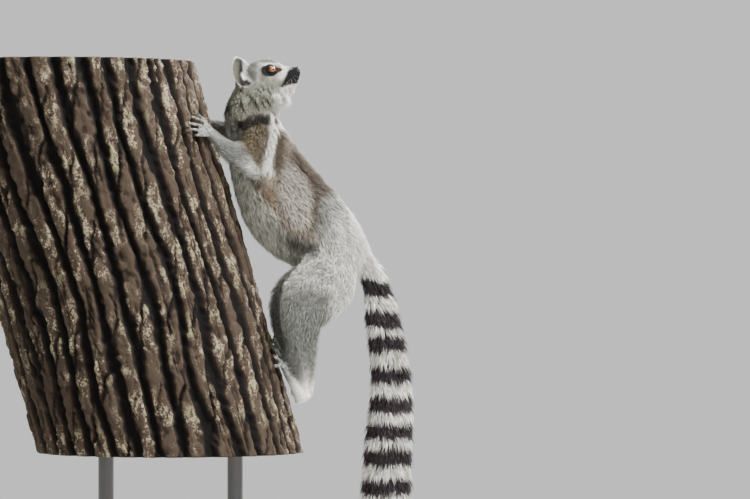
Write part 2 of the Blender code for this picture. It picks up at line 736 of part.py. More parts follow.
def make_flesh(parts, cutters):
    """Fuses the animal, clears the trunk, parts it into its sub-parts and sinks the eyes."""
    body = fused("chest", joined(flesh_shapes(), "flesh"), FUSED_TRIANGLES, parts)
    boolean(body, trunk_body(GAP), "DIFFERENCE", cutters)
    keep_largest(body)

    pieces = [body]

    def cut(name, region):
        pieces.append(part_off(body, name, region, parts, cutters))

    cut("nose", head_region(lambda extra: ball(**NOSE_CUT, segments=12, rings=8, margin=extra)))
    cut("jaw", head_region(lambda extra: slab(**JAW_CUT, margin=extra)))
    for name, side in (("ear_right", -1), ("ear_left", 1)):
        spot = Matrix.Translation(mirrored(EAR_CUT_CENTRE, side))
        spot = spot @ Matrix.Rotation(-side * EAR_CUT_TURN, 4, "Z")
        cut(name, head_region(lambda extra, spot=spot: placed(
            slab((0, 0, 0), EAR_CUT_SIZE, margin=extra), spot)))
    cut("head", slab_region(*HEAD_CUT))
    for name, box in HAND_CUTS.items():
        cut(name, slab_region(*box))
    for name, stations in (
        ("forearm_left", LEFT_FOREARM),
        ("forearm_right", RIGHT_FOREARM),
        ("upper_arm_left", LEFT_UPPER_ARM),
        ("upper_arm_right", RIGHT_UPPER_ARM),
    ):
        cut(name, limb_region(stations))
    for name, box in FOOT_CUTS.items():
        cut(name, slab_region(*box))
    for name, stations in (
        ("shank_left", LEFT_SHANK),
        ("shank_right", RIGHT_SHANK),
        ("thigh_left", THIGH_CUT),
        ("thigh_right", [(x, -y, z, depth, width) for x, y, z, depth, width in THIGH_CUT]),
    ):
        cut(name, limb_region(stations))
    cut("neck", slab_region(*NECK_CUT))
    for name, box in TORSO_CUTS.items():
        cut(name, slab_region(*box))
    for piece in pieces:
        kind = piece.name.split("_")[0]
        share = LIMB_SHARE
        if kind in FINE_KINDS:
            share = FINE_SHARE
        if kind in TRUNK_KINDS:
            share = TRUNK_SHARE
        thinned(piece, share)
        if kind == "head":
            for side in (-1, 1):
                socket = ball(mirrored(EYE_CENTRE, side), (EYE_RADIUS + GAP,) * 3, 12, 8)
                boolean(piece, placed(socket, head_frame()), "DIFFERENCE", cutters)
            keep_largest(piece)
        if kind == "rump":
            boolean(piece, tail_length(0, CUT_MARGIN), "DIFFERENCE", cutters)
            keep_largest(piece)


def main():
    for item in list(bpy.data.objects):
        bpy.data.objects.remove(item)
    parts = bpy.data.collections.new(MODEL_NAME)
    cutters = bpy.data.collections.new("cutters")
    for collection in (parts, cutters):
        bpy.context.scene.collection.children.link(collection)
    make_trunk(parts)
    make_stand(parts)
    make_flesh(parts, cutters)
    make_eyes(parts)
    make_tail(parts)
    for item in parts.objects:
        colour, roughness, metallic = LOOKS[item.name.split("_")[0]]
        item.data.materials.clear()
        item.data.materials.append(material(item.name, colour, roughness, metallic))


main()
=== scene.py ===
"""Looks of a life-size ring-tailed lemur that clings to a cut tree trunk on a display stand.

Laid out as an add-on: settings, one operator for each group of pieces, and one panel. Metres,
+Z up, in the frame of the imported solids. The animal's left side is on the -Y side.
"""

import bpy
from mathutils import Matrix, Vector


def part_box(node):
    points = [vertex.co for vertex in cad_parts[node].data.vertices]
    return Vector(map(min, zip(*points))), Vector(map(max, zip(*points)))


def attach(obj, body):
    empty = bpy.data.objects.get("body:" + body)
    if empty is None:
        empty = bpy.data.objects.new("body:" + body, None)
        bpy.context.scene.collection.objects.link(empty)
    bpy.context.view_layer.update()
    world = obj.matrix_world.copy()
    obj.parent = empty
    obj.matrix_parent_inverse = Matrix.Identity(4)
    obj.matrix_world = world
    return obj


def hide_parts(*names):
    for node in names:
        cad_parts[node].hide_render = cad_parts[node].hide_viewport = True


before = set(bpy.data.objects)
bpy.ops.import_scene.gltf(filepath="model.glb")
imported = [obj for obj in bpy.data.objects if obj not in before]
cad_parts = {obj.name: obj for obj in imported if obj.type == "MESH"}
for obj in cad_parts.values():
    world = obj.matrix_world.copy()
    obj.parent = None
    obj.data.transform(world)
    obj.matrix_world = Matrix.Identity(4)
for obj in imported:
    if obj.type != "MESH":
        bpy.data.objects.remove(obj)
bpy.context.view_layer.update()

from types import SimpleNamespace

import bmesh
import bpy
import numpy as np
from mathutils import Matrix, Vector
from mathutils.bvhtree import BVHTree

bl_info = {
    "name": "Ring-tailed Lemur on a Trunk",
    "version": (1, 0, 0),
    "blender": (4, 5, 0),
    "location": "View3D > Sidebar > Lemur",
    "description": "Skin, coat, eyes, nails, bark and stand of a clinging ring-tailed lemur",
    "category": "Object",
}

EYES = ("eye_left", "eye_right")
STAND = ("stand_base", "stand_rod_a", "stand_rod_b")
FLESH = sorted(set(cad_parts) - set(EYES) - set(STAND) - {"tree_trunk"})
KINDS = [name.split("_")[0] for name in FLESH]
HEAD_KINDS = ("head", "jaw", "nose")

# The head's own frame: centred between the eyes, x along the muzzle, y to the animal's left.
HEAD_CENTRE = Vector((0.1547, 0.0, 0.9215))
HEAD_PITCH = np.radians(17)
HEAD_YAW = np.radians(-2)
# No part of the face or the ears is below this height.
HEAD_FOOT = 0.87
EYE_RADIUS = 0.0078
EYE_CENTRE = np.array((-0.0012, 0.0158, 0.0))
EAR_CENTRE = np.array((-0.0425, 0.0315, 0.0095))
EAR_HEIGHT = 0.0270
EAR_WIDTH = 0.0190
GAZE = np.array((0.62, 0.77, 0.12)) / np.linalg.norm((0.62, 0.77, 0.12))

# The trunk: a leaning round.
TRUNK_LEAN = np.radians(15.7)
TRUNK_RADIUS = 0.200
TRUNK_FOOT_X = 0.0905
TRUNK_BOTTOM = 0.330
TRUNK_TOP = 0.935
BARK_RIDGES = 32

# Hands and feet on the bark, by height and degrees round the trunk, and their side.
HANDS = {
    "hand_left": dict(
        side=1, wrist=(0.8210, 18.5), thumb=(0.8500, 24.0),
        knuckles=((0.8375, 22.0), (0.8310, 23.5), (0.8245, 24.3), (0.8185, 24.0)),
        tips=((0.8470, 30.6), (0.8370, 34.0), (0.8277, 34.2), (0.8185, 31.0))),
    "hand_right": dict(
        side=-1, wrist=(0.8620, 36.5), thumb=(0.8960, 41.5),
        knuckles=((0.8790, 40.5), (0.8725, 42.0), (0.8660, 42.8), (0.8600, 42.5)),
        tips=((0.8890, 49.0), (0.8790, 52.5), (0.8700, 52.7), (0.8600, 50.0))),
}
FEET = {
    "foot_left": dict(
        side=1, heel=(0.4165, 11.0, 0.0275), ball=(0.4660, 11.5), great=(0.4620, -2.5),
        tips=((0.4980, 6.5), (0.4930, 11.5), (0.4790, 15.5), (0.4650, 18.0))),
    "foot_right": dict(
        side=-1, heel=(0.4250, 12.0, 0.0235), ball=(0.4740, 13.0), great=(0.4700, -1.0),
        tips=((0.5060, 8.5), (0.5010, 13.5), (0.4880, 17.5), (0.4740, 20.5))),
}

# The middle of the body from neck to tail root: x, z and half depth.
SPINE = np.array((
    (0.1200, 0.8500, 0.044),
    (0.1291, 0.8149, 0.052),
    (0.1507, 0.7582, 0.064),
    (0.1882, 0.6995, 0.075),
    (0.2389, 0.6610, 0.064),
    (0.2720, 0.6360, 0.043),
))
RING_PITCH = 0.0436
FIRST_RING = 0.5845
RING_SHIFTS = (0.0, 0.0030, -0.0035, 0.0008, 0.0035, -0.0005, -0.0035, -0.0015,
               0.0, 0.0020, -0.0020, 0.0)
TAIL_FOOT = 0.0310

# Coat by kind of sub-part: its depth, and how much the fused form is smoothed there.
COAT_DEPTH = dict(head=0.0022, jaw=0.0030, nose=0.0002, neck=0.0065, chest=0.0085, belly=0.0085,
                  rump=0.0080, ear=0.0008, upper=0.0065, forearm=0.0040, hand=0.0006,
                  thigh=0.0075, shank=0.0045, foot=0.0007, tail=0.0135)
SOFTENING = dict(head=0.16, jaw=0.16, nose=0.08, neck=0.5, ear=0.10, hand=0.08, foot=0.10)

# Which way the coat lies, by sub-part.
TORSO_LIE = (0.569, 0.0, -0.822)
LIES = dict(
    neck=(-0.02, 0.0, -1.0), chest=TORSO_LIE, belly=TORSO_LIE, rump=TORSO_LIE,
    upper_arm_left=(0.05, -0.30, -0.95), forearm_left=(-0.76, -0.06, 0.64),
    hand_left=(-0.45, -0.80, 0.35), upper_arm_right=(-0.36, 0.90, -0.25),
    forearm_right=(-0.82, 0.31, 0.49), hand_right=(-0.45, 0.80, 0.35),
    thigh_left=(-0.70, -0.30, -0.64), thigh_right=(-0.70, 0.30, -0.64),
    shank_left=(0.16, 0.14, -0.98), shank_right=(0.20, -0.14, -0.98),
    foot_left=(-0.26, -0.05, 0.96), foot_right=(-0.26, 0.05, 0.96),
    ear_left=(-0.45, 0.20, 0.85), ear_right=(-0.45, -0.20, 0.85),
    tail_1=(0.32, 0.0, -0.95), tail_2=(0.18, 0.0, -0.98), tail_3=(0.05, 0.0, -1.0),
    tail_4=(-0.08, 0.0, -1.0), tail_5=(0.03, 0.0, -1.0), tail_6=(0.08, 0.0, -1.0),
)


def as_linear(red, green, blue):
    """A screen colour of 0 to 255 as linear light."""
    share = np.array((red, green, blue)) / 255
    return tuple(np.where(share <= 0.04045, share / 12.92, ((share + 0.055) / 1.055) ** 2.4))


def colour_property(name, description, red, green, blue):
    return bpy.props.FloatVectorProperty(
        name=name, description=description, subtype="COLOR", min=0, max=1,
        default=as_linear(red, green, blue))


def length_property(name, description, default, **limits):
    return bpy.props.FloatProperty(
        name=name, description=description, default=default, unit="LENGTH", precision=4, **limits)


class LemurMarkings(bpy.types.PropertyGroup):
    """Colours of the coat and the bare skin."""

    white: colour_property("White", "Throat, rump, fringes and pale tail rings", 232, 229, 221)
    crown: colour_property("Crown", "Top and sides of the head", 124, 125, 118)
    cheek: colour_property("Cheek", "Cheeks and sides of the neck", 142, 142, 126)
    mask: colour_property("Mask", "Patches round the eyes", 24, 20, 18)
    muzzle: colour_property("Muzzle", "Muzzle, nose and lips", 14, 12, 14)
    back: colour_property("Back", "Back and shoulders", 84, 72, 57)
    # Olive-brown of the fur, darkened further as painted shade.
    ochre: colour_property("Ochre", "Outer side of the upper arms", 88, 72, 40)
    flank: colour_property("Flank", "Sides of the body", 164, 150, 137)
    limb: colour_property("Limb", "Arms and legs", 120, 121, 117)
    # Cream of the underside, greyed as painted shade.
    belly: colour_property("Belly", "Underside", 172, 171, 159)
    dark: colour_property("Dark rings", "Dark tail rings", 38, 28, 32)
    palm: colour_property("Palm", "Bare palms, soles and nails", 44, 40, 40)


class LemurCoat(bpy.types.PropertyGroup):
    """Sizes of the skin's grid and the coat's tufts."""

    grid: length_property("Skin grid", "Grid that fuses the flesh", 0.0012, min=0.0008, max=0.005)
    triangles: bpy.props.IntProperty(
        name="Skin triangles", description="Triangles kept before the face is refined",
        default=72000)
    body_spacing: length_property("Body spacing", "Between tufts on body and limbs", 0.00165)
    tail_spacing: length_property("Tail spacing", "Between tufts on the tail", 0.0017)
    head_spacing: length_property("Head spacing", "Between tufts on the head", 0.00105)
    paw_spacing: length_property("Paw spacing", "Between tufts on hands and feet", 0.0012)
    reach: bpy.props.FloatProperty(
        name="Reach", description="Tuft length for each unit of coat depth", default=1.9)
    lift: bpy.props.FloatProperty(
        name="Lift", description="How far a tuft stands up at its root", subtype="ANGLE",
        default=np.radians(44))
    seed: bpy.props.IntProperty(name="Seed", description="Start of the random order", default=7)


class LemurStage(bpy.types.PropertyGroup):
    """Bark, stand and stage."""

    bark_depth: length_property("Bark depth", "Depth of the bark's furrows", 0.0125)
    paint: colour_property("Stand paint", "Satin paint of the stand", 62, 63, 66)
    floor: colour_property("Floor", "Plain floor", 214, 214, 209)


# ---------------------------------------------------------------- small helpers


def head_matrix():
    turned = Matrix.Rotation(HEAD_YAW, 4, "Z") @ Matrix.Rotation(-HEAD_PITCH, 4, "Y")
    return Matrix.Translation(HEAD_CENTRE) @ turned


HEAD = np.array(head_matrix())


def in_head(points):
    return (points - HEAD[:3, 3]) @ HEAD[:3, :3]


def from_head(points):
    return points @ HEAD[:3, :3].T + HEAD[:3, 3]


def unit(vectors):
    return vectors / np.maximum(np.linalg.norm(vectors, axis=-1, keepdims=True), 1e-12)


def ease(low, high, value):
    """0 below low, 1 above high, smooth between."""
    share = np.clip((value - low) / (high - low), 0, 1)
    return share * share * (3 - 2 * share)


def mix(first, second, share):
    return first + (second - first) * share


def rough_noise(points, size, seed=0):
    """Smooth noise from -1 to 1 with features about size across."""
    cell = points / size
    base = np.floor(cell).astype(np.int64)
    part = cell - base
    part = part * part * (3 - 2 * part)
    total = np.zeros(len(points))
    for corner in range(8):
        step = np.array((corner & 1, corner >> 1 & 1, corner >> 2 & 1))
        key = (base + step) @ np.array((73856093, 19349663, 83492791)) + seed * 668265263
        key = (key ^ key >> 13) * 1274126177
        key = (key ^ key >> 16) & 0xFFFF
        total += np.prod(np.where(step, part, 1 - part), axis=1) * (key / 32767.5 - 1)
    return total


def trunk_axis_x(height):
    return TRUNK_FOOT_X - height * np.tan(TRUNK_LEAN)


def on_trunk(height, angle, radius):
    """A point round the trunk's axis: angle 0 faces +X and a positive one turns towards -Y."""
    x = trunk_axis_x(height) + radius * np.cos(angle) / np.cos(TRUNK_LEAN)
    return Vector((x, -radius * np.sin(angle), height))


def trunk_reach(points):
    """Distance square to the trunk's axis."""
    off = (points[:, 0] - trunk_axis_x(points[:, 2])) * np.cos(TRUNK_LEAN)
    return np.hypot(off, points[:, 1])


def on_bark(height, degrees, lift):
    return on_trunk(height, np.radians(degrees), TRUNK_RADIUS + lift)


def bark_outward(degrees):
    """Straight out of the bark at this turn round the trunk."""
    turn, lean = np.radians(degrees), TRUNK_LEAN
    return Vector((np.cos(turn) * np.cos(lean), -np.sin(turn), np.cos(turn) * np.sin(lean)))


def paw_digits():
    """Root, bend and tip of every finger and toe, with its radius and its tip's turn."""
    for hand in HANDS.values():
        side, wrist, thumb = hand["side"], hand["wrist"], hand["thumb"]
        for (low, near), (high, far) in zip(hand["knuckles"], hand["tips"]):
            yield digit(side, 0.0035, (low, near, 0.0082), 0.0086, (high, far, 0.0032))
        middle = sum(height for height, _ in hand["knuckles"]) / 4
        root = (wrist[0] + (middle - wrist[0]) * 0.45, wrist[1] + 1.0, 0.0085)
        yield digit(side, 0.0037, root, 0.0085, (*thumb, 0.0034))
    for foot in FEET.values():
        side, ball, great = foot["side"], foot["ball"], foot["great"]
        for index, tip in enumerate(foot["tips"]):
            root = (ball[0], ball[1] + (index / 3 - 0.5) * 6.5, 0.0095)
            yield digit(side, 0.0043, root, 0.0092, (*tip, 0.0036))
        root = (ball[0] - 0.014, ball[1] - 2.5, 0.0110)
        yield digit(side, 0.0056, root, 0.0095, (*great, 0.0045))


def digit(side, radius, root, bend_lift, tip):
    """One finger or toe, bent halfway, from root and tip by height, turn and lift."""
    bend = ((root[0] + tip[0]) / 2, (root[1] + tip[1]) / 2, bend_lift)
    places = [on_bark(height, side * turn, lift) for height, turn, lift in (root, bend, tip)]
    return places, radius, side * tip[1]


def read(items, field, width, kind=float):
    out = np.empty(len(items) * width, dtype=kind)
    items.foreach_get(field, out)
    return out.reshape(-1, width) if width > 1 else out


def edges_of(mesh):
    return read(mesh.edges, "vertices", 2, np.int32)


def corners_of(mesh):
    return read(mesh.loops, "vertex_index", 1, np.int32).reshape(-1, 3)


def spread(values, edges, weight, rounds):
    """Evens values out over a mesh's edges, by one weight or one for each point."""
    if values.ndim == 1:
        return spread(values[:, None], edges, weight, rounds)[:, 0]
    weight = np.broadcast_to(weight, len(values))[:, None]
    count = np.maximum(np.bincount(edges.ravel(), minlength=len(values)), 1)
    for _ in range(rounds):
        total = np.stack([
            np.bincount(edges[:, 0], column[edges[:, 1]], len(values))
            + np.bincount(edges[:, 1], column[edges[:, 0]], len(values))
            for column in values.T], axis=1)
        values = values + weight * (total / count[:, None] - values)
    return values


def link(name, mesh):
    made = bpy.data.objects.new(name, mesh)
    bpy.context.scene.collection.objects.link(made)
    return made


def piece_from(work, name, smooth=True):
    mesh = bpy.data.meshes.new(name)
    work.to_mesh(mesh)
    work.free()
    mesh.polygons.foreach_set("use_smooth", [smooth] * len(mesh.polygons))
    return link(name, mesh)


def finish_piece(made, slot, *materials):
    for look in materials:
        made.data.materials.append(look)
    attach(made, "root")
    return made


def bake_modifiers(made):
    graph = bpy.context.evaluated_depsgraph_get()
    mesh = bpy.data.meshes.new_from_object(made.evaluated_get(graph))
    old = made.data
    made.modifiers.clear()
    made.data = mesh
    bpy.data.meshes.remove(old)


def write_attribute(mesh, name, kind, values):
    field = {"FLOAT": "value", "INT": "value", "FLOAT_VECTOR": "vector", "FLOAT_COLOR": "color"}
    layer = mesh.attributes.new(name, kind, "POINT")
    layer.data.foreach_set(field[kind], np.ascontiguousarray(values).ravel())


def with_alpha(colours):
    return np.concatenate([colours, np.ones((len(colours), 1))], axis=1)


# ---------------------------------------------------------------- markings


def palette():
    """The colours of the markings, as arrays."""
    paint = bpy.context.scene.lemur_markings
    return SimpleNamespace(**{name: np.array(getattr(paint, name))
                              for name in LemurMarkings.__annotations__})


def blend(first, second, share):
    """Between two colours, by a share at each point."""
    return mix(first, second, np.asarray(share)[..., None])


def bell(value, middle, half):
    """1 at the middle, falling away over this half width."""
    return np.exp(-(((value - middle) / half) ** 2))


def from_side(points):
    """Each point's x and height in millimetres, as the animal is seen from the side."""
    return points[:, 0] * 1000, points[:, 2] * 1000


def off_middle(points):
    """0 near the animal's middle plane, 1 on its sides."""
    return ease(6, 14, np.abs(points[:, 1]) * 1000)


def nearest_on(flat, start, end):
    """How far along a straight line each point is nearest, 0 to 1, and the way off it."""
    start, along = np.array(start), np.array(end) - np.array(start)
    step = np.clip((flat - start) @ along / (along @ along), 0, 1)
    return step, flat - start - step[:, None] * along, along


def near_line(points, places):
    """Distance in millimetres, seen from the side, to a line through these places."""
    flat = points[:, (0, 2)] * 1000
    offs = [nearest_on(flat, start, end)[1] for start, end in zip(places, places[1:])]
    return np.min([np.linalg.norm(off, axis=1) for off in offs], axis=0)


def spine_place(points):
    """How far down the spine a point is, 0 to 1, and -1 at the belly to 1 at the back."""
    best = np.full(len(points), np.inf)
    share, across = np.zeros((2, len(points)))
    for index, (start, end) in enumerate(zip(SPINE, SPINE[1:])):
        step, off, along = nearest_on(points[:, (0, 2)], start[:2], end[:2])
        gap = np.linalg.norm(off, axis=1)
        side = along[1] * off[:, 0] - along[0] * off[:, 1]
        half = start[2] + (end[2] - start[2]) * step
        closer = gap < best
        best = np.where(closer, gap, best)
        share = np.where(closer, (index + step) / (len(SPINE) - 1), share)
        across = np.where(closer, -np.sign(side) * gap / half, across)
    return share, across


def streaks(points, along, size, stretch, seed):
    """Noise drawn out along one direction."""
    along = np.asarray(along) / np.linalg.norm(along)
    drawn = points - np.outer(points @ along, along) * (1 - 1 / stretch)
    return rough_noise(drawn, size, seed)


# The dark patch round an eye, level with the gaze: distance ahead of the head's middle, height
# of the patch's middle and half its height, in millimetres.
PATCH_AHEAD = (-16.5, -13.6, -9.0, -1.2, 6.5, 12.0, 18.0)
PATCH_MIDDLE = (-0.5, -0.8, -1.5, -2.0, -1.2, 0.6, 1.8)
PATCH_HALF = (1.0, 6.0, 8.3, 8.8, 6.4, 4.0, 0.6)
EYE_CORNER = as_linear(74, 50, 30)

# Painted shade in the creases of the coat of cheek and neck: start, end, half width and bow, in
# millimetres.
CREASES = (
    ((119.0, 884.0), (136.0, 858.5), 1.5, 1.8),
    ((108.0, 879.0), (116.0, 855.0), 1.4, -3.0),
    ((138.9, 897.5), (144.5, 888.0), 0.7, 0.5),
    ((146.0, 893.0), (156.0, 881.0), 0.8, 0.8),
    ((139.5, 875.0), (146.0, 863.0), 1.0, -1.0),
    ((146.0, 879.0), (154.0, 866.5), 0.8, -1.0),
    ((131.0, 893.0), (139.0, 884.0), 0.6, 0.6),
    ((103.0, 893.0), (110.0, 884.0), 0.9, 1.0),
)
# The painted shadow under the ruff, along where its hairs are rooted, and the white rim of
# painted light behind the shoulder's ochre, both seen from the side in millimetres.
RUFF_SHADOW_LINE = ((112, 836), (124, 842), (138, 846), (160, 846))
SHOULDER_RIM_LIGHT = ((164, 850), (161, 812), (154, 776), (138, 750))

# On the body, seen from the side in millimetres: the middle of the flank's pale patch, the
# tawny spot in front of it, the pale streak above it, the painted shadow in the fold between
# belly and thigh, a place on the slanted line where the rump's pale grey starts, which a painted
# highlight whitens towards its rear edge, and the grey band across the rump.
FLANK = (191, 727)
TAWNY_SPOT = (153, 729)
TAWNY = as_linear(116, 90, 44)
FLANK_STREAK = ((184, 826), (178, 786))
BELLY_FOLD_SHADOW = ((148, 690), (167, 668), (192, 652), (217, 643))
RUMP_START = (254, 741)
RUMP_BAND = ((264, 716), (273, 655))
NAPE = (88, 866)
# Middle of the painted highlight on the elbow, seen from the side in millimetres.
ELBOW_HIGHLIGHT = (127, 770)

# Painted shade inside the ear's bowl, and its painted shadow low down.
EAR_INSIDE_SHADE = as_linear(96, 98, 86)
EAR_BOWL_SHADOW = as_linear(36, 27, 28)


def crease_shade(points):
    """1 in the painted shade of the creases on both sides, 0 outside them."""
    wander = [0.5 * rough_noise(points, 0.006, seed) for seed in (71, 72)]
    flat = points[:, (0, 2)] * 1000 + np.stack(wander, axis=1)
    shade = np.zeros(len(points))
    for start, end, width, bow in CREASES:
        step, off, along = nearest_on(flat, start, end)
        across = np.array((-along[1], along[0])) / np.linalg.norm(along)
        arch = np.sin(np.pi * step)
        gap = np.linalg.norm(off - (bow * arch)[:, None] * across, axis=1)
        shade = np.maximum(shade, ease(1.5, 0.5, gap / (width * (0.55 + 1.25 * arch))))
    return shade * off_middle(points)


def ruff_shadow(points):
    """1 in the painted shadow under the ruff, 0 outside it."""
    fold = near_line(points, RUFF_SHADOW_LINE) + 2.0 * rough_noise(points, 0.006, 73)
    return ease(11.0, 6.5, fold) * off_middle(points)


def head_colours(points, paint, jaw):
    """The head and the ruff round it, from its own frame, in millimetres."""
    place = in_head(points) * 1000
    x, side, z = place[:, 0], np.abs(place[:, 1]), place[:, 2]
    level = np.cos(HEAD_PITCH), np.sin(HEAD_PITCH)
    ahead, high = x * level[0] - z * level[1], x * level[1] + z * level[0]
    speckle = rough_noise(points, 0.0016, 3) * 0.6 + rough_noise(points, 0.004, 4) * 0.4
    top = 0.6 * ease(8, 20, z) * ease(-0.2, 0.6, speckle)
    colour = blend(paint.crown, paint.crown * 0.60, top)
    colour = blend(colour, paint.cheek, ease(-6, -16, z))
    behind = bell(ahead, -19.5, 4.5) * ease(20, 12, np.abs(high + 3))
    colour = blend(colour, paint.white, 0.45 * behind)
    brow = bell(high - 0.02 * ahead, 9.5, 3.0) * ease(-24, -14, ahead)
    colour = blend(colour, paint.white, 0.80 * brow * ease(24, 10, ahead))
    streak = streaks(points, HEAD[:3, :3] @ np.array((0.92, 0.0, 0.38)), 0.0022, 6, 11)
    lores = ease(5, 11, ahead) * ease(-19, -12, high) * ease(9, 3, high) * ease(34, 26, x - 0.9 * z)
    colour = blend(colour, paint.white, 0.75 * lores)
    colour = blend(colour, paint.crown * 0.45, 0.55 * lores * ease(0.15, 0.55, streak))
    throat = ease(-33, -43, z + 0.35 * x) * ease(-20, -4, x)
    colour = blend(colour, paint.white, np.maximum(throat, 0.85 * jaw))
    half = np.interp(ahead, PATCH_AHEAD, PATCH_HALF, left=0, right=0)
    fuzzy = 0.8 * rough_noise(points, 0.0022, 12)
    gap = np.abs(high - np.interp(ahead, PATCH_AHEAD, PATCH_MIDDLE)) + fuzzy
    patch = ease(half + 0.9, half - 1.1, gap) * (half > 0.7) * ease(4.2, 6.8, side)
    colour = blend(colour, blend(paint.mask, EYE_CORNER, 0.7 * ease(-2, 8, ahead)), patch)
    snout = ease(29.6, 34.6, x - 0.907 * z + 1.5 * rough_noise(points, 0.003, 13))
    snout = snout * np.maximum(ease(28, 34, x), ease(-3.5, -7.5, z + 0.25 * side))
    lips = bell(z, -28.0, 1.5) * ease(6.5, 9.5, x)
    chin = ease(-28.4, -32.8, z + 0.05 * (x - 20) + 0.9 * rough_noise(points, 0.002, 14))
    colour = blend(colour, paint.muzzle, np.maximum(snout, 0.9 * lips) * (1 - chin))
    # Painted shade in the creases of cheek and neck.
    return blend(colour, paint.mask, 0.94 * crease_shade(points))


def ear_frame(side):
    """The ear's own directions in the head: up its length, back across it, out of its bowl."""
    up = unit(np.array((-0.20, 0.24 * side, 0.95)))
    back = np.array((-0.84, 0.54 * side, 0.0))
    back = unit(back - up * (back @ up))
    return up, back, np.cross(back, up) * side


def ear_place(points):
    """Up, back and out from the middle of the nearer ear, the first two as shares of its size."""
    place = in_head(points)
    side = np.where(place[:, 1] > 0, 1.0, -1.0)
    out = np.zeros((len(points), 3))
    for which in (-1, 1):
        here = side == which
        axes = np.stack(ear_frame(which), axis=1)
        out[here] = (place[here] - EAR_CENTRE * (1, which, 1)) @ axes
    return out / (EAR_HEIGHT, EAR_WIDTH, 1)


def ear_colours(points, paint):
    """Pale fur behind and on the rims; the bowl inside painted grey as shade, and painted shadow
    almost black low down in it.
    """
    up, back, out = ear_place(points).T
    reach = np.sqrt((up / 0.98) ** 2 + (back / (1 - 0.36 * np.clip(up, -1, 1))) ** 2)
    hollow = out + 0.0100 * (1 - reach ** 2) - 0.0105
    inside = ease(0.93, 0.84, reach) * ease(-0.0105, -0.0085, hollow)
    front = ease(-0.20, -0.50, back + 0.30 * up)
    # The bowl's grey and near-black are painted shade.
    inner = blend(np.array(EAR_INSIDE_SHADE), EAR_BOWL_SHADOW, ease(0.45, -0.10, up + 0.9 * back))
    return blend(paint.white * 0.95, inner, inside * (1 - front))


def torso_colours(points, paint):
    """Neck, chest, belly and rump with painted shadow in the belly's fold and a painted highlight on
    the rump, and the frost of pale tips on the flank.
    """
    share, across = spine_place(points)
    x, height = from_side(points)
    wander = rough_noise(points, 0.018, 21) * 0.12 + rough_noise(points, 0.006, 22) * 0.06
    speckle = rough_noise(points, 0.0035, 23)
    colour = blend(paint.back, paint.flank, 0.55 * ease(0.35, -0.15, across + wander))
    colour = blend(colour, paint.back * 0.72, 0.5 * ease(0.0, 0.7, speckle))
    # The flank's patch of pale-tipped fur, longer than wide, and the darker fur behind it.
    down = (x - FLANK[0]) * 0.20 - (height - FLANK[1]) * 0.98
    over = (x - FLANK[0]) * 0.98 + (height - FLANK[1]) * 0.20
    patch = ease(1.30, 0.40, (down / 54) ** 2 + (over / 25) ** 2 + 1.3 * wander)
    colour = blend(colour, paint.back * 0.60, 0.80 * bell(over, 38, 15) * bell(down, -4, 62))
    colour = blend(colour, paint.flank, 0.65 * patch)
    streak = bell(near_line(points, FLANK_STREAK), 0, 7)
    colour = blend(colour, paint.flank * 1.15, 0.55 * streak)
    tawny = bell(x, TAWNY_SPOT[0], 12) * bell(height, TAWNY_SPOT[1], 15)
    colour = blend(colour, TAWNY, 0.55 * tawny)
    colour = blend(colour, paint.belly, ease(-0.27, -0.47, across + wander))
    # Painted shadow in the fold between belly and thigh; the pale tips are left out there too.
    fold = near_line(points, BELLY_FOLD_SHADOW) + 12 * wander
    line = ease(1.9, 0.4, fold / (5.0 + 4.0 * ease(0.45, 0.70, share)))
    colour = blend(colour, paint.back * 0.22, (0.25 + 0.65 * ease(160, 196, x)) * line)
    front = ease(113, 99, x) * ease(782, 800, height) * ease(860, 846, height)
    colour = blend(colour, paint.belly, 0.85 * front)
    behind = (x - RUMP_START[0]) * 0.942 - (height - RUMP_START[1]) * 0.335
    rump = ease(-22, 16, behind + 130 * wander + 8 * speckle)
    grey = blend(paint.limb * 1.7, paint.back * 0.7, 0.5 * ease(0.1, 0.6, speckle))
    # The rump's pale grey whitens towards its rear edge: a painted highlight.
    colour = blend(colour, blend(grey, paint.white, ease(8, 30, behind + 60 * wander)), rump)
    colour = blend(colour, paint.back * 1.1, 0.40 * bell(near_line(points, RUMP_BAND), 0, 7))
    frost = np.clip(1.25 * patch + 0.65 * rump + 0.05, 0, 1.25) * (1 - 0.7 * line)
    return colour, frost


def neck_colours(points, paint, colour):
    """The neck's pale sides, its dark nape, and painted shade in its creases and under the ruff."""
    x, height = from_side(points)
    sides = blend(paint.cheek, paint.white, ease(150, 172, x))
    colour = blend(colour, sides, ease(826, 846, height + 0.16 * (x - 130)))
    nape = bell(x, NAPE[0], 12) * bell(height, NAPE[1], 15)
    nape = nape * ease(34, 12, np.abs(points[:, 1]) * 1000)
    colour = blend(colour, paint.mask * 1.5, 0.85 * nape)
    # Painted shade: the creases, and the shadow under the ruff.
    return blend(colour, paint.mask, 0.94 * np.maximum(crease_shade(points), ruff_shadow(points)))


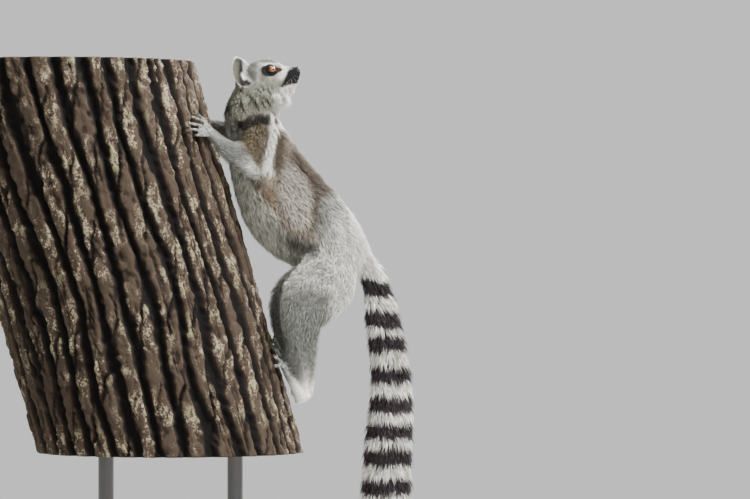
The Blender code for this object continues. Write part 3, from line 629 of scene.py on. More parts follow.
def arm_colours(points, paint, upper):
    """Speckled grey arms with a white elbow that is a painted highlight, and the shoulder's ochre
    between its edges.
    """
    x, height = from_side(points)
    fuzzy = 2.5 * rough_noise(points, 0.006, 32)
    fine = rough_noise(points, 0.0024, 31)
    grey = blend(paint.limb, paint.limb * 0.42, 0.60 * ease(0.10, 0.55, fine))
    ochre = blend(paint.ochre, paint.ochre * 0.55, 0.6 * ease(0, 0.6, fine))
    # White on the elbow: a painted highlight.
    elbow = bell(x, ELBOW_HIGHLIGHT[0], 15) * bell(height, ELBOW_HIGHLIGHT[1], 18)
    # The ochre of the shoulder ends along the forearm's upper edge.
    above = ease(-2.5, 2.5, (x - 106) * 0.774 + (height - 808) * 0.634 + fuzzy) * ease(98, 104, x)
    near, far = blend(blend(grey, paint.white, 0.85 * elbow), ochre, above), grey
    if upper:
        ruff = ease(850, 856, height + 0.16 * (x - 130) + fuzzy)
        near = blend(near, paint.cheek, ruff)
        # Painted shadow under the ruff.
        near = blend(near, paint.mask, 0.94 * ruff_shadow(points))
        # White rim of painted light behind the shoulder's ochre.
        near = blend(near, paint.white, ease(13, 7, near_line(points, SHOULDER_RIM_LIGHT) + fuzzy))
        low, high = (np.array(corner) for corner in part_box("upper_arm_right"))
        axis = unit(np.array(LIES["upper_arm_right"]))
        arm = points - (low + high) / 2
        edge = arm @ unit(np.cross(axis, (0.0, 1.0, 0.0))) * 1000
        along = arm @ axis / np.linalg.norm(high - low) * 2
        far = blend(ochre, grey, np.maximum(ease(0.0, 0.45, along), ease(8, 16, edge + fuzzy)))
    return np.where((points[:, 1] < 0)[:, None], near, far)


def leg_colours(points, paint):
    """Speckled white thighs with a pale fringe under them, grey shanks and white heels."""
    x, height = from_side(points)
    speckle = rough_noise(points, 0.0024, 41)
    fuzzy = 7 * rough_noise(points, 0.010, 42) + 3 * speckle
    spots = ease(0.0, 0.6, speckle)
    thigh = blend(paint.white * 0.94, paint.limb * 0.45, 0.60 * spots)
    shank = blend(paint.limb, paint.limb * 0.55, 0.50 * spots)
    fringe = ease(236, 258, x + fuzzy) * ease(500, 524, height)
    colour = blend(shank, thigh, ease(566, 604, height + fuzzy))
    return blend(colour, paint.white, np.maximum(fringe, ease(452, 430, height)))


def paw_colours(points, paint, foot):
    """Grey hands and feet with dark mottling, and a white heel."""
    speckle = rough_noise(points, 0.0030, 34)
    colour = blend(blend(paint.limb, paint.white, 0.10), paint.limb * 0.30,
                   0.75 * ease(-0.35, 0.35, speckle))
    heel = ease(0.452, 0.428, points[:, 2])
    return blend(colour, paint.white, 0.9 * heel) if foot else colour


def tail_colours(points, paint):
    """Rings square to the tail, uneven at their edges, and a dark tip."""
    height = points[:, 2]
    wobble = 0.0028 * rough_noise(points, 0.010, 51) + 0.0016 * rough_noise(points, 0.004, 52)
    drop = FIRST_RING - height + wobble
    places = RING_PITCH * np.arange(len(RING_SHIFTS)) + np.array(RING_SHIFTS)
    gap = np.min(np.abs(drop[:, None] - places[None]), axis=1) / RING_PITCH
    ring = ease(0.315, 0.265, gap) * ease(0.606, 0.598, height)
    ring = np.maximum(ring, ease(TAIL_FOOT + 0.060, TAIL_FOOT + 0.050, height))
    pale = blend(paint.white, paint.limb, 0.30 * ease(-0.2, 0.6, rough_noise(points, 0.005, 53)))
    return blend(pale, paint.dark, ring)


def coat_colours(points, regions):
    """The coat's colour at these points, and how pale the tips of its hairs are."""
    paint = palette()
    colour = np.zeros((len(points), 3))
    frost = np.zeros(len(points))
    for index, kind in enumerate(KINDS):
        here = regions == index
        spots = points[here]
        if not len(spots):
            continue
        if kind in HEAD_KINDS:
            made = head_colours(spots, paint, kind == "jaw")
        elif kind == "ear":
            made = ear_colours(spots, paint)
        elif kind in ("neck", "chest", "belly", "rump"):
            made, frost[here] = torso_colours(spots, paint)
            if kind in ("neck", "chest"):
                made = neck_colours(spots, paint, made)
                # No pale tips high on the neck, nor in the painted shadow under the ruff.
                frost[here] *= ease(0.86, 0.82, spots[:, 2]) * (1 - ruff_shadow(spots))
        elif kind in ("upper", "forearm"):
            made = arm_colours(spots, paint, kind == "upper")
            # Pale tips on the arms, but none in the painted shadow under the ruff.
            frost[here] = 0.35 * (1 - ruff_shadow(spots))
        elif kind in ("thigh", "shank"):
            made = leg_colours(spots, paint)
            frost[here] = 0.45
        elif kind == "tail":
            made = tail_colours(spots, paint)
        else:
            made = paw_colours(spots, paint, kind == "foot")
        colour[here] = made
    return colour, frost


# ---------------------------------------------------------------- materials


def plug(tree, made, plugs):
    """Sets these inputs of a node: a socket is linked, and any other value is its default."""
    for place, value in plugs.items():
        if isinstance(value, bpy.types.NodeSocket):
            tree.links.new(value, made.inputs[place])
        else:
            made.inputs[place].default_value = value


def add(tree, kind, wanted, plugs=None, **values):
    """Adds a shader node and returns the output wanted."""
    made = tree.nodes.new("ShaderNode" + kind)
    for name, value in values.items():
        setattr(made, name, value)
    plug(tree, made, plugs or {})
    return made.outputs[wanted]


def place_of(tree):
    return add(tree, "TexCoord", "Object")


def painted(tree, name, wanted="Fac"):
    """What a mesh's attribute says at each point."""
    return add(tree, "Attribute", wanted, attribute_name=name)


def grain(tree, scale, detail=2, roughness=0.5, place=None):
    """Noise over the object's own place, or over another one."""
    return add(tree, "TexNoise", "Fac", {
        "Vector": place_of(tree) if place is None else place,
        "Scale": scale, "Detail": detail, "Roughness": roughness})


def maths(tree, operation, *values):
    return add(tree, "Math", 0, dict(enumerate(values)), operation=operation)


def span(tree, value, low, high, bottom=0.0, top=1.0, **values):
    """Stretches low to high onto bottom to top."""
    return add(tree, "MapRange", "Result", {
        "Value": value, "From Min": low, "From Max": high, "To Min": bottom, "To Max": top}, **values)


def ramp(tree, factor, *stops):
    """A colour ramp through these places and colours."""
    colour = add(tree, "ValToRGB", "Color", {"Fac": factor})
    elements = colour.node.color_ramp.elements
    while len(elements) < len(stops):
        elements.new(0.5)
    for element, (place, tone) in zip(elements, stops):
        element.position = place
        element.color = (*tone, 1)
    return colour


def mixed(tree, share, first, second, **values):
    return add(tree, "Mix", "Result", {"Factor": share, "A": first, "B": second}, **values)


def bump(tree, shader, height, strength, distance):
    plug(tree, shader, {"Normal": add(tree, "Bump", "Normal", {
        "Strength": strength, "Distance": distance, "Height": height})})


def new_look(name, roughness, **sockets):
    look = bpy.data.materials.new(name)
    look.use_nodes = True
    shader = look.node_tree.nodes["Principled BSDF"]
    plug(look.node_tree, shader, {"Roughness": roughness})
    plug(look.node_tree, shader, {key.replace("_", " "): value for key, value in sockets.items()})
    return look, look.node_tree, shader


def mottled_look(name, roughness, scale, *stops, **sockets):
    """A look of plain colours that noise of this scale mixes."""
    look, tree, shader = new_look(name, roughness, **sockets)
    plug(tree, shader, {"Base Color": ramp(tree, grain(tree, scale), *stops)})
    return look


def strand_group():
    """Node group: a colour broken up by fine noise, and a height for the short coat's bump."""
    found = bpy.data.node_groups.get("Fine hair")
    if found:
        return found
    group = bpy.data.node_groups.new("Fine hair", "ShaderNodeTree")
    for name, kind, way in (("Colour", "Color", "INPUT"), ("Scale", "Float", "INPUT"),
                            ("Contrast", "Float", "INPUT"), ("Colour", "Color", "OUTPUT"),
                            ("Height", "Float", "OUTPUT")):
        group.interface.new_socket(name, in_out=way, socket_type="NodeSocket" + kind)
    given = group.nodes.new("NodeGroupInput").outputs
    noise = grain(group, given["Scale"], 3, 0.6)
    shade = span(group, noise, 0.3, 0.7, maths(group, "SUBTRACT", 1.0, given["Contrast"]),
                 maths(group, "ADD", 1.0, given["Contrast"]))
    tinted = add(group, "VectorMath", "Vector", {0: given["Colour"], "Scale": shade},
                 operation="SCALE")
    plug(group, group.nodes.new("NodeGroupOutput"), {"Colour": tinted, "Height": noise})
    return group


def haired(tree, scale, contrast):
    """The markings' colour, broken up by fine hair."""
    return add(tree, "Group", "Colour", {
        "Colour": painted(tree, "MarkingsAndPaintedLight", "Color"), "Scale": scale, "Contrast": contrast},
        node_tree=strand_group())


def coat_look():
    """Hair: the markings, broken up a little, matt with a faint sheen."""
    found = bpy.data.materials.get("Coat hair")
    if found:
        return found
    look, tree, shader = new_look("Coat hair", 0.78, Specular_IOR_Level=0.25, Sheen_Weight=0.12)
    plug(tree, shader, {"Base Color": haired(tree, 420, 0.16)})
    return look


def skin_look():
    """Skin under the coat, with short hair as bump, and bare leathery places."""
    look, tree, shader = new_look("Lemur skin", 0.8, Specular_IOR_Level=0.18)
    bare = painted(tree, "Bare")
    colour = haired(tree, 900, 0.22)
    leather = add(tree, "TexVoronoi", "Distance", {"Vector": place_of(tree), "Scale": 2300})
    height = mixed(tree, bare, colour.node.outputs["Height"], leather)
    plug(tree, shader, {"Base Color": colour, "Roughness": span(tree, bare, 0, 1, 0.85, 0.38)})
    bump(tree, shader, height, 0.30, 0.0004)
    return look


def eye_look():
    """A wet eye: black pupil, amber iris with a fibrous grain and a dark rim, brown white."""
    look, tree, shader = new_look("Lemur eye", 0.08, Coat_Weight=0.5, Coat_Roughness=0.02,
                                  Specular_IOR_Level=0.4)
    fibres = maths(tree, "MULTIPLY_ADD", grain(tree, 1500, 4), 0.09, painted(tree, "Ring"))
    pupil = (0.002, 0.002, 0.002)
    plug(tree, shader, {"Base Color": ramp(
        tree, fibres, (0.0, pupil), (0.275, pupil), (0.315, as_linear(70, 30, 2)),
        (0.42, as_linear(150, 84, 2)), (0.62, as_linear(112, 52, 1)),
        (0.72, as_linear(46, 20, 4)), (0.78, as_linear(30, 18, 12)))})
    return look


def bark_look():
    """Furrows darkened almost to black as painted shade, dark brown ridges, and a pale crust on what
    stands out most.
    """
    look, tree, shader = new_look("Ridged bark", 0.92, Specular_IOR_Level=0.2)
    ridge = painted(tree, "Ridge")
    drawn = add(tree, "Mapping", "Vector", {"Vector": place_of(tree), "Scale": (1, 1, 0.5)})
    coarse = grain(tree, 70, 8, 0.68, drawn)
    fine = grain(tree, 330, 6, 0.7)
    # Darker towards the furrows by the Ridge height, nearly to black: painted shade over the bark's
    # own dark brown.
    base = ramp(tree, maths(tree, "MULTIPLY_ADD", coarse, 0.60, ridge),
                (0.25, as_linear(12, 9, 8)), (0.60, as_linear(25, 20, 17)),
                (0.95, as_linear(48, 38, 31)), (1.25 / 1.3, as_linear(66, 55, 45)))
    crust = ramp(tree, coarse, (0.40, as_linear(140, 122, 100)),
                 (0.55, as_linear(172, 158, 136)), (0.66, as_linear(132, 132, 96)))
    rough = maths(tree, "MULTIPLY_ADD", fine, 0.7, coarse)
    crusty, outer, zones = (
        span(tree, value, low, high, interpolation_type="SMOOTHSTEP") for value, low, high in (
            (rough, 0.86, 0.98), (ridge, 0.5, 0.85), (grain(tree, 11, 3), 0.40, 0.56)))
    share = maths(tree, "MULTIPLY", maths(tree, "MULTIPLY", crusty, outer), zones)
    plug(tree, shader, {"Base Color": mixed(tree, share, base, crust, data_type="RGBA")})
    bump(tree, shader, maths(tree, "MULTIPLY_ADD", fine, 0.45, coarse), 1.0, 0.0045)
    return look


def sawn_look():
    """Sawn end grain: growth rings round the pith, and a dark rim of bark."""
    look, tree, shader = new_look("Sawn wood", 0.72)
    place = place_of(tree)
    square = (np.cos(TRUNK_LEAN), 0, np.sin(TRUNK_LEAN))
    across = add(tree, "VectorMath", "Value", {0: place, 1: square}, operation="DOT_PRODUCT")
    flat = add(tree, "CombineXYZ", "Vector", {
        "X": maths(tree, "SUBTRACT", across, TRUNK_FOOT_X * np.cos(TRUNK_LEAN)),
        "Y": add(tree, "SeparateXYZ", "Y", {"Vector": place})})
    reach = add(tree, "VectorMath", "Value", {0: flat}, operation="LENGTH")
    warped = maths(tree, "MULTIPLY_ADD", grain(tree, 9, 4), 0.03, reach)
    rings = maths(tree, "SINE", maths(tree, "MULTIPLY", warped, 1100))
    wood = ramp(tree, span(tree, rings, -1, 1), (0.0, as_linear(146, 110, 74)),
                (0.6, as_linear(182, 150, 108)), (1.0, as_linear(198, 170, 128)))
    rim = span(tree, reach, TRUNK_RADIUS - 0.019, TRUNK_RADIUS - 0.015)
    plug(tree, shader, {"Base Color": mixed(
        tree, rim, wood, (*as_linear(58, 40, 30), 1), data_type="RGBA")})
    bump(tree, shader, grain(tree, 240, 5), 0.35, 0.0010)
    return look


def paint_look(colour):
    """Satin powder coat with a fine orange peel and a little dust in its tone."""
    look, tree, shader = new_look("Stand paint", 0.42, Specular_IOR_Level=0.5)
    cloud = grain(tree, 7, 5)
    dark, light = (tuple(share * part for part in colour) for share in (0.85, 1.2))
    plug(tree, shader, {"Base Color": ramp(tree, cloud, (0.3, dark), (0.7, light)),
                        "Roughness": span(tree, cloud, 0, 1, 0.36, 0.52)})
    bump(tree, shader, grain(tree, 520), 0.25, 0.0002)
    return look


# ---------------------------------------------------------------- skin

# The flesh is grown a little before it is fused, so that the thin cuts between nodes close.
GROW = 0.0004
# Thickness is looked for this far in, and the coat takes at most this share of it.
DEEPEST = 0.08
THIN_SHARE = 0.22


def solid_surface():
    """The flesh's solids as one search tree, with each triangle's sub-part."""
    points, triangles, owners = [], [], []
    for index, name in enumerate(FLESH):
        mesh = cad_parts[name].data
        mesh.calc_loop_triangles()
        start = len(points)
        points += [vertex.co.copy() for vertex in mesh.vertices]
        for triangle in mesh.loop_triangles:
            triangles.append([start + corner for corner in triangle.vertices])
            owners.append(index)
    return BVHTree.FromPolygons(points, triangles), np.array(owners)


def regions_of(points, surface):
    tree, owners = surface
    return owners[[tree.find_nearest(point)[2] for point in points.tolist()]]


def of_kind(regions, *kinds):
    return np.isin(np.array(KINDS)[regions], kinds)


def eye_gap(points):
    """Distance from the middle of the nearer eye."""
    place = in_head(points)
    place[:, 1] = np.abs(place[:, 1])
    return np.linalg.norm(place - EYE_CENTRE, axis=1)


def add_blob(work, centre, *axes):
    """An oval with these half-axes."""
    for vertex in bmesh.ops.create_icosphere(work, subdivisions=2, radius=1.0)["verts"]:
        vertex.co = centre + sum((axis * part for axis, part in zip(axes, vertex.co)), Vector())


def add_digits(work):
    """Slender fingers and toes, thicker at their joints, as ovals along a bent line."""
    for (root, bend, tip), radius, _ in paw_digits():
        pull = 2 * bend - (root + tip) / 2
        for share in np.linspace(0, 1, 17).tolist():
            centre = root * (1 - share) ** 2 + pull * 2 * share * (1 - share) + tip * share ** 2
            joints = sum(bell(share, joint, 0.07) for joint in (0.04, 0.48, 0.78))
            size = radius * (1.04 - 0.16 * share + 0.08 * joints)
            add_blob(work, centre, *(Vector(axis) * size for axis in np.eye(3)))


def add_palms(work):
    """Palms and soles on the bark, as ovals that the grid fuses."""
    for hand in HANDS.values():
        side, wrist = hand["side"], hand["wrist"]
        middle = np.mean(hand["knuckles"], axis=0)
        ends = [on_bark(spot[0], side * spot[1], 0.009) for spot in (wrist, middle)]
        along = (ends[1] - ends[0]).normalized()
        for share in np.linspace(-0.15, 1.0, 8):
            turn = side * (wrist[1] + (middle[1] - wrist[1]) * share)
            height = wrist[0] + (middle[0] - wrist[0]) * share
            out = bark_outward(turn)
            thick, broad = 0.0085 - 0.0030 * share, 0.0090 + 0.0035 * max(share, 0)
            add_blob(work, on_bark(height, turn, 0.0100 - 0.0022 * share), along * 0.0065,
                     along.cross(out) * broad, out * thick)
    for foot in FEET.values():
        side, heel, ball = foot["side"], foot["heel"], foot["ball"]
        ends = [on_bark(heel[0], side * heel[1], heel[2]), on_bark(ball[0], side * ball[1], 0.012)]
        along = (ends[1] - ends[0]).normalized()
        for share in np.linspace(0, 1.05, 11):
            lift, thick, broad = (np.interp(share, (0, 0.35, 0.7, 1), row) for row in (
                (heel[2], 0.0230, 0.0160, 0.0118), (0.0180, 0.0138, 0.0105, 0.0080),
                (0.0155, 0.0138, 0.0142, 0.0152)))
            turn = side * (heel[1] + (ball[1] - heel[1]) * share)
            centre = on_bark(heel[0] + (ball[0] - heel[0]) * share, turn, lift)
            out = bark_outward(turn)
            out = (out - along * out.dot(along)).normalized()
            add_blob(work, centre, along * 0.0085, along.cross(out) * broad, out * thick)


def fused_flesh(grid):
    """One closed form round all the flesh, a little larger so that the thin cuts close."""
    whole = bmesh.new()
    add_digits(whole)
    add_palms(whole)
    for name in (*FLESH, *EYES):
        if name in HANDS or name in FEET:
            continue
        work = bmesh.new()
        work.from_mesh(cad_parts[name].data)
        bmesh.ops.remove_doubles(work, verts=work.verts, dist=1e-5)
        bmesh.ops.recalc_face_normals(work, faces=work.faces)
        work.normal_update()
        for vertex in work.verts:
            vertex.co += vertex.normal * (GROW if name in FLESH else 0)
        mesh = bpy.data.meshes.new("part")
        work.to_mesh(mesh)
        work.free()
        whole.from_mesh(mesh)
        bpy.data.meshes.remove(mesh)
    made = piece_from(whole, "skin")
    remesh = made.modifiers.new("fuse", "REMESH")
    remesh.mode = "VOXEL"
    remesh.voxel_size = grid
    bake_modifiers(made)
    return made


def depth_at(points, regions):
    """The coat's depth over each point, finer on the face than its sub-part's own."""
    depth = np.array([COAT_DEPTH[kind] for kind in KINDS])[regions]
    x, _, z = in_head(points).T * 1000
    ruff = ease(-12, -26, z) * ease(14, -6, x) + 0.7 * ease(-26, -40, z) * ease(24, 12, x)
    face = 0.0022 + 0.0036 * np.clip(ruff, 0, 1)
    face = mix(face, 0.0005, ease(12, 20, x) * ease(-36, -28, z))
    face = mix(face, 0.0003, ease(0.015, 0.009, eye_gap(points)))
    return np.where(of_kind(regions, *HEAD_KINDS), face, depth)


def lies_of(points, regions):
    """Which way the coat lies at each point, before it is evened out."""
    lies = np.array([LIES.get(name, (0, 0, -1)) for name in FLESH], dtype=float)[regions]
    place = in_head(points) * 1000
    down = ease(-2, -30, place[:, 2])
    back = np.stack([-1.0 + 0.45 * down, 0.25 * np.sign(place[:, 1]), 0.10 - 1.0 * down], axis=1)
    head = of_kind(regions, *HEAD_KINDS)[:, None]
    return unit(np.where(head, back @ HEAD[:3, :3].T, lies))


def set_lids(place):
    """Draws the skin over the eyes, in the head's frame, with an almond opening for each."""
    for side in (-1, 1):
        mirror = np.array((1, side, 1))
        centre, gaze = EYE_CENTRE * mirror, GAZE * mirror
        up = unit(np.array((0.0, 0.0, 1.0)) - gaze * gaze[2])
        front = np.cross(up, gaze) * side
        arm = place - centre
        reach = np.linalg.norm(arm, axis=1)
        ahead = unit(arm)
        wide = ahead @ front * EYE_RADIUS
        high = ahead @ up * EYE_RADIUS - 0.0006 + 0.10 * wide
        tall = np.where(high > 0, 0.0049, 0.0045)
        almond = np.sqrt((wide / 0.0066) ** 2 + (high / tall) ** 2)
        facing = ease(0.0, 0.35, ahead @ gaze) * (reach < 0.0145)
        lid = EYE_RADIUS + 0.0011 - 0.0004 * ease(1.0, 1.6, almond)
        wanted = mix(EYE_RADIUS - 0.0016, lid, ease(0.90, 1.06, almond))
        weight = facing * ease(2.0, 1.25, almond)
        place = centre + ahead * mix(reach, wanted, weight)[:, None]
    return place


def sculpt_face(points):
    """Lids, nostrils, the groove under the nose and the line of the mouth; and what is bare."""
    place = set_lids(in_head(points))
    x, side, z = place[:, 0] * 1000, np.abs(place[:, 1]) * 1000, place[:, 2] * 1000
    mouth = -26.0 - 0.088 * (40 - x) - 1.3 * np.sin(np.clip((40 - x) / 32, 0, 1) * np.pi)
    line = bell(z, mouth, 0.75) * ease(6.5, 10, x)
    lip = bell(z - 2.2, mouth, 1.5) * ease(6.5, 12, x)
    nostril = (bell(x, 43.0, 1.6) * bell(z + 13.6, 0.5 * (side - 3.6), 1.0)
               * bell(side, 3.7, 1.5))
    groove = bell(side, 0, 0.55) * ease(39, 41, x) * ease(-11, -13.5, z)
    pad = ease(36.5, 38.5, x) * ease(-19.5, -17.5, z)
    inward = -0.0012 * line + 0.0004 * lip - 0.0019 * nostril - 0.0007 * groove + 0.0004 * pad
    # The muzzle is pressed towards its own middle line.
    axis = np.clip(place, (-0.01, 0, -0.0185), (0.034, 0, -0.0185))
    place = place + unit(place - axis) * (inward * ease(3, 7, x))[:, None]
    bare = pad + ease(0.35, 0.9, bell(z, mouth, 1.1) * ease(6.5, 10, x))
    return from_head(place), np.clip(bare, 0, 1)


def press_ears(points, normals):
    """Deepens the ears' bowls and sinks a pit at their foot."""
    place, facing = in_head(points), normals @ HEAD[:3, :3]
    up, back, out = ear_place(points).T
    opening = np.where(place[:, 1:2] > 0, ear_frame(1)[2], ear_frame(-1)[2])
    inner = ease(0.1, 0.5, np.sum(facing * opening, axis=1))
    near = (np.abs(out) < 0.016) & (np.abs(up) < 1.3) & (np.abs(back) < 1.4)
    reach = np.sqrt(up ** 2 + (back / (1 - 0.36 * np.clip(up, -1, 1))) ** 2)
    bowl = 0.0012 * ease(0.92, 0.6, reach)
    pit = 0.0065 * bell(up, -0.42, 0.26) * bell(back, -0.30, 0.30)
    return from_head(place - opening * ((bowl + pit) * inner * near)[:, None])


def refine(mesh, chosen):
    """Splits the chosen vertices' edges in two."""
    work = bmesh.new()
    work.from_mesh(mesh)
    work.verts.ensure_lookup_table()
    edges = [edge for edge in work.edges
             if chosen[edge.verts[0].index] and chosen[edge.verts[1].index]]
    bmesh.ops.subdivide_edges(work, edges=edges, cuts=1, use_grid_fill=True)
    bmesh.ops.triangulate(work, faces=work.faces)
    work.to_mesh(mesh)
    work.free()


class LEMUR_OT_skin(bpy.types.Operator):
    """One skin for all the flesh, inside the solids by the coat's depth"""

    bl_idname = "lemur.skin"
    bl_label = "Skin"

    def execute(self, context):
        coat = context.scene.lemur_coat
        surface = solid_surface()
        made = fused_flesh(coat.grid)
        self.soften(made, surface, coat.triangles)
        mesh = made.data
        form = self.sink(mesh, surface)
        self.mark(mesh, surface, form, *self.carve(mesh))
        finish_piece(made, "coat", skin_look())
        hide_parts(*FLESH)
        print("skin triangles", len(mesh.polygons))
        return {"FINISHED"}

    def soften(self, made, surface, triangles):
        """Evens out the fused form and thins its triangles, least on face and paws."""
        mesh = made.data
        points, edges = read(mesh.vertices, "co", 3), edges_of(mesh)
        regions = regions_of(points, surface)
        weight = np.array([SOFTENING.get(kind, 0.6) for kind in KINDS])[regions]
        weight = spread(weight, edges, 0.5, 6)
        mesh.vertices.foreach_set("co", spread(points, edges, weight, 20).ravel())
        coarse = made.vertex_groups.new(name="coarse")
        coarse.add(np.nonzero(weight > 0.35)[0].tolist(), 1.0, "REPLACE")
        coarse.add(np.nonzero(weight <= 0.35)[0].tolist(), 0.06, "REPLACE")
        made.modifiers.new("corners", "TRIANGULATE")
        fewer = made.modifiers.new("fewer", "DECIMATE")
        fewer.ratio = triangles / (2 * len(mesh.polygons))
        fewer.vertex_group = "coarse"
        bake_modifiers(made)
        made.vertex_groups.clear()

    def sink(self, mesh, surface):
        """Pushes the skin in by the coat's depth, and returns the form that it had before."""
        points, normals = (read(mesh.vertices, field, 3) for field in ("co", "normal"))
        edges = edges_of(mesh)
        regions = regions_of(points, surface)
        depth = spread(depth_at(points, regions), edges, 0.5, 8)
        form = BVHTree.FromPolygons(points.tolist(), corners_of(mesh).tolist())
        thick = np.full(len(points), DEEPEST)
        for index, (point, normal) in enumerate(zip(points.tolist(), normals.tolist())):
            start = Vector(point) - Vector(normal) * GROW
            place, _, _, distance = form.ray_cast(start, -Vector(normal), DEEPEST)
            if place is not None:
                thick[index] = distance
        thick = spread(thick, edges, 0.5, 4)
        outward = unit(spread(normals, edges, 0.5, 3))
        points = points - outward * (np.minimum(depth, THIN_SHARE * thick) + GROW)[:, None]
        fine = of_kind(regions, *HEAD_KINDS, "ear", "hand", "foot")
        points = spread(points, edges, np.where(fine, 0.15, 0.5), 3)
        mesh.vertices.foreach_set("co", points.ravel())
        return form

    def carve(self, mesh):
        """Gives the face and ears finer triangles and their shapes."""
        points = read(mesh.vertices, "co", 3)
        x, _, z = in_head(points).T
        up, back, out = ear_place(points).T
        ears = (np.abs(up) < 1.15) & (np.abs(back) < 1.25) & (np.abs(out) < 0.016)
        face = (x > -0.013) & (z > -0.036) & (z < 0.016)
        refine(mesh, (face | ears) & (points[:, 2] > HEAD_FOOT))
        points = read(mesh.vertices, "co", 3)
        x, _, z = in_head(points).T
        nose, lips = (x > 0.036) & (z < -0.008), (x > 0.006) & (np.abs(z + 0.0278) < 0.0026)
        refine(mesh, nose | lips | (eye_gap(points) < 0.0112))
        points, edges = read(mesh.vertices, "co", 3), edges_of(mesh)
        x, _, z = in_head(points).T
        front = ease(-0.014, -0.010, x) * (z > -0.04) * (points[:, 2] > HEAD_FOOT)
        points = spread(points, edges, 0.5 * front, 3)
        points = press_ears(points, read(mesh.vertices, "normal", 3))
        points, bare = sculpt_face(points)
        points = spread(points, edges, 0.25 * front, 1)
        mesh.vertices.foreach_set("co", points.ravel())
        mesh.update()
        return points, bare

    def mark(self, mesh, surface, form, points, bare):
        """Writes the markings, the bare places, and the coat's lie, depth and sub-part."""
        edges, paint = edges_of(mesh), palette()
        regions = regions_of(points, surface)
        on_bark_side = trunk_reach(points) - TRUNK_RADIUS < 0.0015
        palms = (of_kind(regions, "hand", "foot") & on_bark_side).astype(float)
        lids = ease(0.0118, 0.0092, eye_gap(points))
        colour = blend(coat_colours(points, regions)[0], paint.palm, 0.9 * palms)
        colour = blend(colour, paint.mask * 0.2, lids)
        depth = spread(depth_at(points, regions), edges, 0.5, 6)
        # The coat fills the space from the skin to the fused form, near its own depth.
        room = np.array([form.find_nearest(point)[3] for point in points.tolist()]) - GROW
        depth = np.minimum(depth, np.clip(room, 0.35 * depth, 1.15 * depth))
        bare = np.maximum(np.where(of_kind(regions, *HEAD_KINDS), bare, 0), palms)
        for name, kind, values in (
            # The markings, with the painted shade, shadows and highlights in them.
            ("MarkingsAndPaintedLight", "FLOAT_COLOR", with_alpha(colour)),
            ("Bare", "FLOAT", np.maximum(bare, 0.30 * ease(0.6, 0.95, lids))),
            ("Lie", "FLOAT_VECTOR", spread(lies_of(points, regions), edges, 0.5, 14)),
            ("CoatDepth", "FLOAT", depth),
            ("Region", "INT", regions),
        ):
            write_attribute(mesh, name, kind, values)
        mesh.polygons.foreach_set("use_smooth", [True] * len(mesh.polygons))


# ---------------------------------------------------------------- coat

# A patch of the bake map for each tuft, this large as a share of the map.
TUFT_PATCH = 0.003
# No hair is rooted nearer to the middle of an eye than this.
EYE_CLEAR = 0.0098
# Each root is sunk this far into the skin.
ROOT_DEPTH = 0.0005


def cell_keys(points, size):
    """One number for each cell of this size."""
    return np.floor(points / size).astype(np.int64) @ np.array((1, 100003, 10000600009))


def skin_samples(kinds, spacing, seed):
    """Roots over the skin of these sub-parts, about one in each cell of this size."""
    skin = bpy.data.objects["skin"].data
    fields = skin.attributes
    points, normals = (read(skin.vertices, field, 3) for field in ("co", "normal"))
    regions = read(fields["Region"].data, "value", 1, np.int32)
    triangles = corners_of(skin)
    triangles = triangles[np.isin(regions[triangles[:, 0]], kinds)]
    corners = points[triangles]
    area = np.linalg.norm(np.cross(corners[:, 1] - corners[:, 0], corners[:, 2] - corners[:, 0]),
                          axis=1) / 2
    random = np.random.default_rng(seed)
    count = int(area.sum() / spacing ** 2 * 5)
    chosen = random.choice(len(triangles), count, p=area / area.sum())
    first, second = random.random((2, count))
    over = first + second > 1
    first, second = np.where(over, 1 - first, first), np.where(over, 1 - second, second)
    share = np.stack([1 - first - second, first, second], axis=1)

    def at(values):
        return np.einsum("nk,nk...->n...", share, values[triangles[chosen]])

    roots = at(points)
    _, kept = np.unique(cell_keys(roots, spacing), return_index=True)
    kept.sort()
    share, chosen = share[kept], chosen[kept]
    found = SimpleNamespace(
        roots=roots[kept], normals=unit(at(normals)), lies=at(read(fields["Lie"].data, "vector", 3)),
        depth=at(read(fields["CoatDepth"].data, "value", 1)),
        bare=at(read(fields["Bare"].data, "value", 1)), regions=regions[triangles[chosen, 0]])
    good = (eye_gap(found.roots) > EYE_CLEAR) & (found.bare < 0.3)
    return SimpleNamespace(**{name: values[good] for name, values in vars(found).items()})


def unwrapped(points, regions, order):
    """Each sub-part rolled out round its own axis, in its own square of the map."""
    grid = int(np.ceil(np.sqrt(len(order))))
    place = np.zeros((len(points), 2))
    for index, region in enumerate(order):
        here = regions == region
        if not here.any():
            continue
        name = FLESH[region]
        low, high = (np.array(corner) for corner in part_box(name))
        centre = (low + high) / 2
        axis = unit(np.array(LIES.get(name, HEAD[:3, 0]), dtype=float))
        across = unit(np.cross(axis, (0.0, 1.0, 0.0)))
        other = np.cross(axis, across)
        arm = points[here] - centre
        turn = np.arctan2(arm @ other, arm @ across) / (2 * np.pi) + 0.5
        reach = np.linalg.norm(high - low) / 2
        along = np.clip((arm @ axis) / reach / 2 + 0.5, 0, 1)
        corner = np.array((index % grid, index // grid)) / grid
        place[here] = corner + (0.02 + 0.95 * np.stack([turn, along], axis=1)) / grid
    return place


